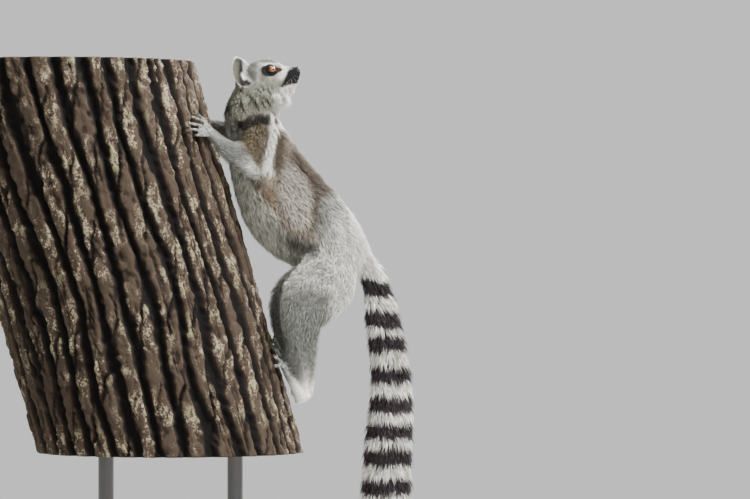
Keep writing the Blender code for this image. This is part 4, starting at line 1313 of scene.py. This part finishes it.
def tuft_mesh(name, rings, tips, colours, patches):
    """Closed three-sided spikes through these rings of corners: (tufts, rings, 3, 3)."""
    count, levels = rings.shape[:2]
    size = 3 * levels + 1
    points = np.concatenate([rings.reshape(count, -1, 3), tips[:, None]], axis=1)
    faces = [(2, 1, 0)]
    for level in range(levels - 1):
        for side in range(3):
            near, after = 3 * level + side, 3 * level + (side + 1) % 3
            faces += [(near, after, after + 3), (near, after + 3, near + 3)]
    top = 3 * (levels - 1)
    faces += [(top + side, top + (side + 1) % 3, size - 1) for side in range(3)]
    faces = np.array(faces)
    whole = (faces[None] + (np.arange(count) * size)[:, None, None]).reshape(-1)
    mesh = bpy.data.meshes.new(name)
    mesh.vertices.add(count * size)
    mesh.vertices.foreach_set("co", points.reshape(-1))
    mesh.loops.add(len(whole))
    mesh.loops.foreach_set("vertex_index", whole.astype(np.int32))
    total = len(whole) // 3
    mesh.polygons.add(total)
    mesh.polygons.foreach_set("loop_start", np.arange(0, len(whole), 3, dtype=np.int32))
    mesh.polygons.foreach_set("use_smooth", np.ones(total, dtype=bool))
    shade = np.concatenate([np.repeat(colours[:, :levels], 3, axis=1), colours[:, levels:]], axis=1)
    write_attribute(mesh, "MarkingsAndPaintedLight", "FLOAT_COLOR", with_alpha(shade.reshape(-1, 3)))
    corner_x = np.tile((-0.5, 0.5, 0.0), levels)
    corner_y = np.repeat(np.linspace(-0.5, 0.25, levels), 3) if levels > 1 else np.full(3, -0.5)
    local = np.stack([np.append(corner_x, 0), np.append(corner_y, 0.5)], axis=1) * TUFT_PATCH
    places = (patches[:, None] + local[None])[:, faces.reshape(-1)]
    layer = mesh.uv_layers.new(name="OFBake")
    layer.data.foreach_set("uv", places.reshape(-1))
    mesh.update()
    mesh.validate()
    return mesh


def hair_colours(points, regions, random, group, locks):
    """Each tuft's colour at root, bend and tip, uneven from tuft to tuft and lock to lock, with roots
    darkened as painted shade.
    """
    colour, frost = coat_colours(points, regions)
    white = palette().white
    tone = (1 + 0.12 * random.standard_normal((len(points), 1))) * (
        1 + locks * random.standard_normal((group.max() + 1, 1))[group])
    colour = np.clip(colour * tone, 0.004, 0.9)
    frosted = np.clip(frost * ease(0.15, 0.75, random.random(len(points))), 0, 1)
    tip = blend(colour * 1.08, white, frosted)
    colour = blend(colour, white, 0.30 * frosted)
    # Roots darkened: painted shade deep in the coat.
    root = colour * (0.60 - 0.16 * frost[:, None])
    return np.stack([root, colour * (1 - 0.10 * frost[:, None]), tip], axis=1)


def grow_coat(name, starts, spacing, seed, levels=2, clump=0.0050, gather=0.45, width=0.072,
              lift=None, reach=None, spare=0.0, swirl=1.0, locks=0.20):
    """One piece of coat over the sub-parts whose names start like this."""
    coat = bpy.context.scene.lemur_coat
    seed += coat.seed
    order = [index for index, part in enumerate(FLESH) if part.startswith(starts)]
    found = skin_samples(order, spacing, seed)
    random = np.random.default_rng(seed + 1)
    roots, normals, regions = found.roots, found.normals, found.regions
    count = len(roots)

    # The way each tuft lies: swirled, tousled, and kept along the skin.
    lies = found.lies + 0.14 * random.standard_normal((count, 3))
    for size, share in ((0.022, 0.40), (0.008, 0.20)):
        turned = [rough_noise(roots, size, seed + k) for k in range(3)]
        lies = lies + swirl * share * np.stack(turned, axis=1)
    lies = unit(lies - normals * np.sum(lies * normals, axis=1, keepdims=True))
    stand = (lift or coat.lift) * (1 + 0.22 * random.standard_normal(count))
    stand = np.clip(stand, 0.12, 1.3)[:, None]
    length = found.depth * (reach or coat.reach) + spare
    length = (length * (1 + 0.15 * random.standard_normal(count)))[:, None]
    start = roots - normals * ROOT_DEPTH
    bend = start + 0.5 * length * (np.cos(stand) * lies + np.sin(stand) * normals)
    fall = 0.42 * stand
    tips = bend + 0.5 * length * (np.cos(fall) * lies + np.sin(fall) * normals)

    # Neighbouring tips are drawn together into locks.
    warped = roots + 0.4 * clump * np.stack(
        [rough_noise(roots, clump * 1.3, seed + 9 + k) for k in range(3)], axis=1)
    _, group = np.unique(cell_keys(warped, clump), return_inverse=True)
    size = np.bincount(group)
    middle = np.stack([np.bincount(group, tips[:, axis]) / size for axis in range(3)], axis=1)
    pull = gather * (0.6 + 0.8 * random.random((len(size), 1)))
    move = pull[group] * (middle[group] - tips)
    tips = tips + move
    bend = bend + 0.3 * move
    colours = hair_colours(bend, regions, random, group, locks)
    if levels == 1:
        colours = colours[:, (0, 2)]

    # Three corners round the tuft at its root and, when it has two levels, at its bend.
    across = unit(np.cross(lies, normals))
    half = 0.5 * width * length * (1 + 0.2 * random.standard_normal((count, 1)))
    above = unit(np.cross(across, unit(tips - start)))
    above = above * np.sign(np.sum(above * normals, axis=1, keepdims=True) + 1e-9)
    rings = np.stack([
        np.stack([spot - across * half * share, spot + across * half * share,
                  spot + above * half * share * 0.9], axis=1)
        for spot, share in ((start, 1.0), (bend, 0.8))[:levels]], axis=1)
    turned = np.sum(np.cross(rings[:, 0, 1] - rings[:, 0, 0], rings[:, 0, 2] - rings[:, 0, 0])
                    * (bend - start), axis=1) < 0
    rings[turned] = rings[turned][:, :, (1, 0, 2)]
    mesh = tuft_mesh(name, rings, tips, colours, unwrapped(roots, regions, order))
    finish_piece(link(name, mesh), "tail_coat" if "tail" in name else "coat", coat_look())
    print(name, "tufts", count, "triangles", len(mesh.polygons))


class LEMUR_OT_coat_body(bpy.types.Operator):
    """Tufts of the neck, chest, belly and rump"""

    bl_idname = "lemur.coat_body"
    bl_label = "Body coat"

    def execute(self, context):
        spacing = context.scene.lemur_coat.body_spacing
        grow_coat("coat_chest", "chest", spacing, 100)
        grow_coat("coat_belly", "belly", spacing, 200)
        grow_coat("coat_rump", "rump", spacing, 300)
        grow_coat("coat_neck", "neck", spacing * 0.8, 400, clump=0.004, gather=0.2, swirl=0.5)
        return {"FINISHED"}


class LEMUR_OT_coat_limbs(bpy.types.Operator):
    """Tufts of the arms and legs, and the short hair of hands and feet"""

    bl_idname = "lemur.coat_limbs"
    bl_label = "Limb coat"

    def execute(self, context):
        coat = context.scene.lemur_coat
        spacing = coat.body_spacing
        grow_coat("coat_arms", ("upper", "forearm"), spacing, 500, clump=0.004)
        grow_coat("coat_thighs", "thigh", spacing, 600, gather=0.35, swirl=0.4)
        grow_coat("coat_shanks", "shank", spacing, 700, clump=0.004, lift=0.88, reach=2.2,
                  swirl=0.6)
        grow_coat("coat_paws", ("hand", "foot"), coat.paw_spacing, 800, levels=1, clump=0.002,
                  gather=0.1, width=0.24, lift=0.20, spare=0.0011, swirl=0.4)
        return {"FINISHED"}


class LEMUR_OT_coat_tail(bpy.types.Operator):
    """Long soft tufts of the ringed tail"""

    bl_idname = "lemur.coat_tail"
    bl_label = "Tail coat"

    def execute(self, context):
        for name, starts in (("coat_tail_upper", ("tail_1", "tail_2", "tail_3")),
                             ("coat_tail_lower", ("tail_4", "tail_5", "tail_6"))):
            grow_coat(name, starts, context.scene.lemur_coat.tail_spacing, 915, clump=0.007,
                      width=0.060, lift=0.85, reach=2.1)
        return {"FINISHED"}


class LEMUR_OT_coat_head(bpy.types.Operator):
    """Short hair of the head and ears, longer towards the ruff"""

    bl_idname = "lemur.coat_head"
    bl_label = "Head coat"

    def execute(self, context):
        spacing = context.scene.lemur_coat.head_spacing
        grow_coat("coat_head", "head", spacing, 1000, clump=0.003, gather=0.12, width=0.080,
                  lift=0.50, reach=1.9, spare=0.0014, swirl=0.5, locks=0.08)
        grow_coat("coat_beard", "jaw", spacing, 1050, clump=0.003, gather=0.15, width=0.060,
                  lift=0.80, reach=2.7, spare=0.0020, swirl=0.5, locks=0.08)
        grow_coat("coat_ears", "ear", spacing, 1100, levels=1, clump=0.002, gather=0.1,
                  width=0.13, lift=0.5, spare=0.0030)
        return {"FINISHED"}


# ---------------------------------------------------------------- eyes, nails, whiskers


class LEMUR_OT_eyes(bpy.types.Operator):
    """Two wet eyes with a raised cornea"""

    bl_idname = "lemur.eyes"
    bl_label = "Eyes"

    def execute(self, context):
        look = eye_look()
        for name, side in (("eye_left", 1), ("eye_right", -1)):
            work = bmesh.new()
            bmesh.ops.create_uvsphere(work, u_segments=64, v_segments=48, radius=EYE_RADIUS)
            ring = []
            for vertex in work.verts:
                off = (vertex.co.xy.length / EYE_RADIUS) if vertex.co.z > 0 else 2.0
                ring.append(off)
                if off < 0.80:
                    vertex.co.z += 0.0007 * (1 - (off / 0.80) ** 2)
            gaze = Vector(GAZE * (1, side, 1))
            turn = gaze.to_track_quat("Z", "Y").to_matrix().to_4x4()
            centre = Vector(EYE_CENTRE * (1, side, 1))
            spot = head_matrix() @ Matrix.Translation(centre) @ turn
            bmesh.ops.transform(work, matrix=spot, verts=work.verts)
            made = piece_from(work, name + "_ball")
            write_attribute(made.data, "Ring", "FLOAT", np.array(ring))
            finish_piece(made, "eye", look)
            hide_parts(name)
        return {"FINISHED"}


class LEMUR_OT_nails(bpy.types.Operator):
    """A small arched nail on each finger and toe"""

    bl_idname = "lemur.nails"
    bl_label = "Nails"

    def execute(self, context):
        whole = bmesh.new()
        for (_, bend, tip), radius, turn in paw_digits():
            size = radius - 0.0009
            ahead = (tip - bend).normalized()
            out = bark_outward(turn)
            out = (out - ahead * out.dot(ahead)).normalized()
            across = out.cross(ahead)
            middle = tip + ahead * size * 0.55 + out * size * 0.66
            made = bmesh.ops.create_uvsphere(whole, u_segments=14, v_segments=9, radius=1.0)
            for vertex in made["verts"]:
                along, wide, high = vertex.co
                narrow = 1 - 0.30 * max(along, 0)
                fall = 0.42 * max(along + 0.2, 0) ** 2 + 0.42 * wide * wide
                vertex.co = (middle + ahead * along * size * 0.80
                             + across * wide * size * 0.58 * narrow
                             + out * size * (high * 0.20 - fall))
        bmesh.ops.recalc_face_normals(whole, faces=whole.faces)
        look = mottled_look("Dark nail", 0.35, 700, (0.3, as_linear(38, 34, 34)),
                            (0.7, as_linear(78, 70, 66)), Coat_Weight=0.2)
        finish_piece(piece_from(whole, "nails"), "bare_skin", look)
        return {"FINISHED"}


class LEMUR_OT_whiskers(bpy.types.Operator):
    """Fine whiskers on brow, muzzle and chin"""

    bl_idname = "lemur.whiskers"
    bl_label = "Whiskers"

    def execute(self, context):
        whole = bmesh.new()
        hairs = []
        for side in (-1, 1):
            for index, (x, z) in enumerate(((4.0, 13.5), (1.0, 15.0), (-2.0, 16.0))):
                hairs.append(((x, side * 11, z), (-0.15 + 0.1 * index, side * 0.35, 1.0),
                              20 - 3 * index))
            for index in range(5):
                hairs.append(((31 - 3.0 * index, side * (8.0 + 0.6 * index), -18 - 1.5 * index),
                              (0.55 - 0.25 * index, side * 1.0, -0.30 - 0.1 * index), 20))
            hairs.append(((24, side * 4, -34), (0.5, side * 0.4, -0.6), 11))
        for start, way, length in hairs:
            root = Vector(from_head(np.array(start) / 1000))
            way = Vector(HEAD[:3, :3] @ np.array(way)).normalized()
            droop = Vector((0, 0, -0.18))
            rings = []
            steps = 5
            for step in range(steps):
                share = step / steps
                centre = root + (way + droop * share) * (length * 0.001 * share)
                side_way = way.orthogonal().normalized()
                other = way.cross(side_way)
                radius = 0.00022 * (1 - 0.8 * share)
                rings.append([whole.verts.new(centre + (side_way * np.cos(turn)
                                                       + other * np.sin(turn)) * radius)
                              for turn in (0, 2.0944, 4.1888)])
            tip = whole.verts.new(root + (way + droop) * (length * 0.001))
            whole.faces.new(rings[0][::-1])
            for near, far in zip(rings, rings[1:]):
                for corner in range(3):
                    after = (corner + 1) % 3
                    whole.faces.new((near[corner], near[after], far[after], far[corner]))
            for corner in range(3):
                whole.faces.new((rings[-1][corner], rings[-1][(corner + 1) % 3], tip))
        bmesh.ops.recalc_face_normals(whole, faces=whole.faces)
        look = mottled_look("Whisker", 0.5, 90, (0.35, as_linear(70, 66, 62)),
                            (0.65, as_linear(180, 176, 168)))
        finish_piece(piece_from(whole, "whiskers"), "coat", look)
        return {"FINISHED"}


# ---------------------------------------------------------------- trunk and stand

# The bark's crests stay just inside the solid trunk.
CREST_RADIUS = TRUNK_RADIUS - 0.0003


def bark_wander(height, angle):
    """How far a ridge has turned round the trunk at this height, in radians."""
    return (0.030 * np.sin(9.0 * height) + 0.012 * np.sin(19.0 * height)
            + 0.020 * np.sin(3 * angle + 8.0 * height)
            + 0.012 * np.sin(7 * angle + 15.0 * height))


def bark_rise(height, angle):
    """0 in a furrow to 1 on a crest: ridges that split, fork and break into crusty plates."""
    own = angle
    for _ in range(4):
        own = angle - bark_wander(height, own)
    around = np.stack([np.cos(angle) * TRUNK_RADIUS, np.sin(angle) * TRUNK_RADIUS, height], axis=1)
    drawn = around * (1, 1, 0.32)
    sway = 0.20 * rough_noise(drawn, 0.030, 61) + 0.10 * rough_noise(drawn, 0.012, 62)
    place = own / (2 * np.pi) * BARK_RIDGES + sway
    ridge = np.floor(place)
    off = 2 * np.abs(place - ridge - 0.5)
    edge = 0.16 * rough_noise(around * (1, 1, 0.7), 0.006, 63)
    rise = ease(0.92, 0.44, off + edge)
    # Forks: a slanting crack joins one furrow to the next here and there.
    slant = (place - ridge) + height / 0.115 + 3.7 * (ridge % 3) + 1.3 * (ridge % 5)
    crack = np.abs((slant + 0.12 * rough_noise(around, 0.02, 64)) % 1 - 0.5) * 2
    deep = 0.45 + 0.40 * rough_noise(around, 0.05, 65)
    rise = rise * (1 - np.clip(deep, 0, 1) * ease(0.16, 0.04, crack))
    # A narrow seam runs down the middle of a broad crest.
    seam = np.abs(off - 0.10 - 0.16 * rough_noise(drawn, 0.02, 66))
    rise = rise - 0.30 * ease(0.13, 0.02, seam) * ease(-0.1, 0.4, rough_noise(drawn, 0.03, 67))
    crust = (0.45 * rough_noise(around * (1, 1, 0.6), 0.0100, 68)
             + 0.40 * rough_noise(around * (1, 1, 0.8), 0.0062, 69)
             + 0.25 * rough_noise(around, 0.0040, 70))
    rise = rise + 0.42 * crust * (0.35 + 0.65 * np.clip(rise, 0, 1)) - 0.16
    return np.clip(rise, -0.15, 1.0)


class LEMUR_OT_trunk(bpy.types.Operator):
    """The trunk's furrowed bark and its sawn ends"""

    bl_idname = "lemur.trunk"
    bl_label = "Trunk"

    def execute(self, context):
        depth = context.scene.lemur_stage.bark_depth
        sides, rings = 470, 204
        work = bmesh.new()
        bmesh.ops.create_grid(work, x_segments=sides, y_segments=rings, size=0.5)
        place = np.array([vertex.co for vertex in work.verts])
        angle = (place[:, 0] + 0.5) * 2 * np.pi
        height = TRUNK_BOTTOM + (TRUNK_TOP - TRUNK_BOTTOM) * (place[:, 1] + 0.5)
        angle = np.where(angle > 2 * np.pi - 1e-4, 0, angle)
        rise = bark_rise(height, angle)
        radius = CREST_RADIUS - depth * (1 - rise)
        for vertex, spot in zip(work.verts, zip(height.tolist(), angle.tolist(), radius.tolist())):
            vertex.co = on_trunk(*spot)
        bmesh.ops.remove_doubles(work, verts=work.verts, dist=1e-6)
        rims = [edge for edge in work.edges if edge.is_boundary]
        ends = bmesh.ops.edgeloop_fill(work, edges=rims, mat_nr=1)["faces"]
        bmesh.ops.inset_individual(work, faces=ends, thickness=0.002, depth=0.0)
        bmesh.ops.recalc_face_normals(work, faces=work.faces)
        made = piece_from(work, "trunk_bark")
        mesh = made.data
        reach = trunk_reach(read(mesh.vertices, "co", 3))
        write_attribute(mesh, "Ridge", "FLOAT", 1 - (CREST_RADIUS - reach) / depth)
        flat = [abs(polygon.normal.z) < 0.99 for polygon in mesh.polygons]
        mesh.polygons.foreach_set("use_smooth", flat)
        finish_piece(made, "bark", bark_look(), sawn_look())
        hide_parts("tree_trunk")
        print("trunk_bark", len(mesh.polygons))
        return {"FINISHED"}


class LEMUR_OT_stand(bpy.types.Operator):
    """Satin paint on the stand's plate and rods"""

    bl_idname = "lemur.stand"
    bl_label = "Stand"

    def execute(self, context):
        look = paint_look(tuple(context.scene.lemur_stage.paint))
        for name in STAND:
            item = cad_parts[name]
            if not item.material_slots:
                item.data.materials.append(look)
            for place in item.material_slots:
                place.material = look
        return {"FINISHED"}


class LEMUR_OT_stage(bpy.types.Operator):
    """Pale floor, soft lights and the camera"""

    bl_idname = "lemur.stage"
    bl_label = "Stage"

    def execute(self, context):
        scene = context.scene
        work = bmesh.new()
        bmesh.ops.create_circle(work, cap_ends=True, segments=96, radius=3.2)
        bmesh.ops.translate(work, vec=(0, 0, -0.0006), verts=work.verts)
        floor = piece_from(work, "floor", smooth=False)
        tone = tuple(scene.lemur_stage.floor)
        shaded = tuple(0.97 * part for part in tone)
        look = mottled_look("Pale floor", 0.85, 1.5, (0.3, shaded), (0.7, tone))
        floor.data.materials.append(look)
        world = bpy.data.worlds.new("Studio")
        world.use_nodes = True
        back = world.node_tree.nodes["Background"]
        back.inputs["Color"].default_value = (0.80, 0.81, 0.80, 1)
        back.inputs["Strength"].default_value = 0.95
        scene.world = world
        target = Vector((0.16, 0.0, 0.72))
        for name, spot, size, power in (
            ("key", (1.5, -1.3, 2.5), 0.9, 190),
            ("rim", (1.5, 1.6, 2.0), 0.8, 230),
            ("top", (0.0, 0.5, 2.9), 1.4, 40),
            ("fill", (-1.9, -2.6, 1.0), 2.2, 4),
        ):
            lamp = bpy.data.lights.new(name, "AREA")
            lamp.shape = "DISK"
            lamp.size = size
            lamp.energy = power
            item = bpy.data.objects.new(name, lamp)
            item.location = spot
            item.rotation_euler = (target - Vector(spot)).to_track_quat("-Z", "Y").to_euler()
            scene.collection.objects.link(item)
        lens = bpy.data.cameras.new("camera")
        distance = 7.0
        lens.sensor_width = 36
        lens.lens = 36 * distance / 1.1625
        camera = bpy.data.objects.new("camera", lens)
        camera.location = (0.31465, -distance, 0.6440)
        camera.rotation_euler = (np.pi / 2, 0, 0)
        scene.collection.objects.link(camera)
        scene.camera = camera
        return {"FINISHED"}


class LEMUR_PT_panel(bpy.types.Panel):
    """Lists the pieces in the order they are made"""

    bl_idname = "LEMUR_PT_panel"
    bl_label = "Ring-tailed lemur"
    bl_space_type = "VIEW_3D"
    bl_region_type = "UI"
    bl_category = "Lemur"

    def draw(self, context):
        for group in ("lemur_markings", "lemur_coat", "lemur_stage"):
            settings = getattr(context.scene, group)
            box = self.layout.box()
            for name in settings.__annotations__:
                box.prop(settings, name)
        for operator in OPERATORS:
            self.layout.operator(operator.bl_idname)


SETTINGS = (LemurMarkings, LemurCoat, LemurStage)
OPERATORS = (
    LEMUR_OT_stage,
    LEMUR_OT_skin,
    LEMUR_OT_eyes,
    LEMUR_OT_coat_body,
    LEMUR_OT_coat_limbs,
    LEMUR_OT_coat_tail,
    LEMUR_OT_coat_head,
    LEMUR_OT_nails,
    LEMUR_OT_whiskers,
    LEMUR_OT_trunk,
    LEMUR_OT_stand,
)


def register():
    for item in (*SETTINGS, *OPERATORS, LEMUR_PT_panel):
        bpy.utils.register_class(item)
    bpy.types.Scene.lemur_markings = bpy.props.PointerProperty(type=LemurMarkings)
    bpy.types.Scene.lemur_coat = bpy.props.PointerProperty(type=LemurCoat)
    bpy.types.Scene.lemur_stage = bpy.props.PointerProperty(type=LemurStage)


def unregister():
    del bpy.types.Scene.lemur_stage
    del bpy.types.Scene.lemur_coat
    del bpy.types.Scene.lemur_markings
    for item in (LEMUR_PT_panel, *OPERATORS[::-1], *SETTINGS[::-1]):
        bpy.utils.unregister_class(item)


def main():
    register()
    for operator in OPERATORS:
        group, name = operator.bl_idname.split(".")
        getattr(getattr(bpy.ops, group), name)()


if __name__ == "__main__":
    main()
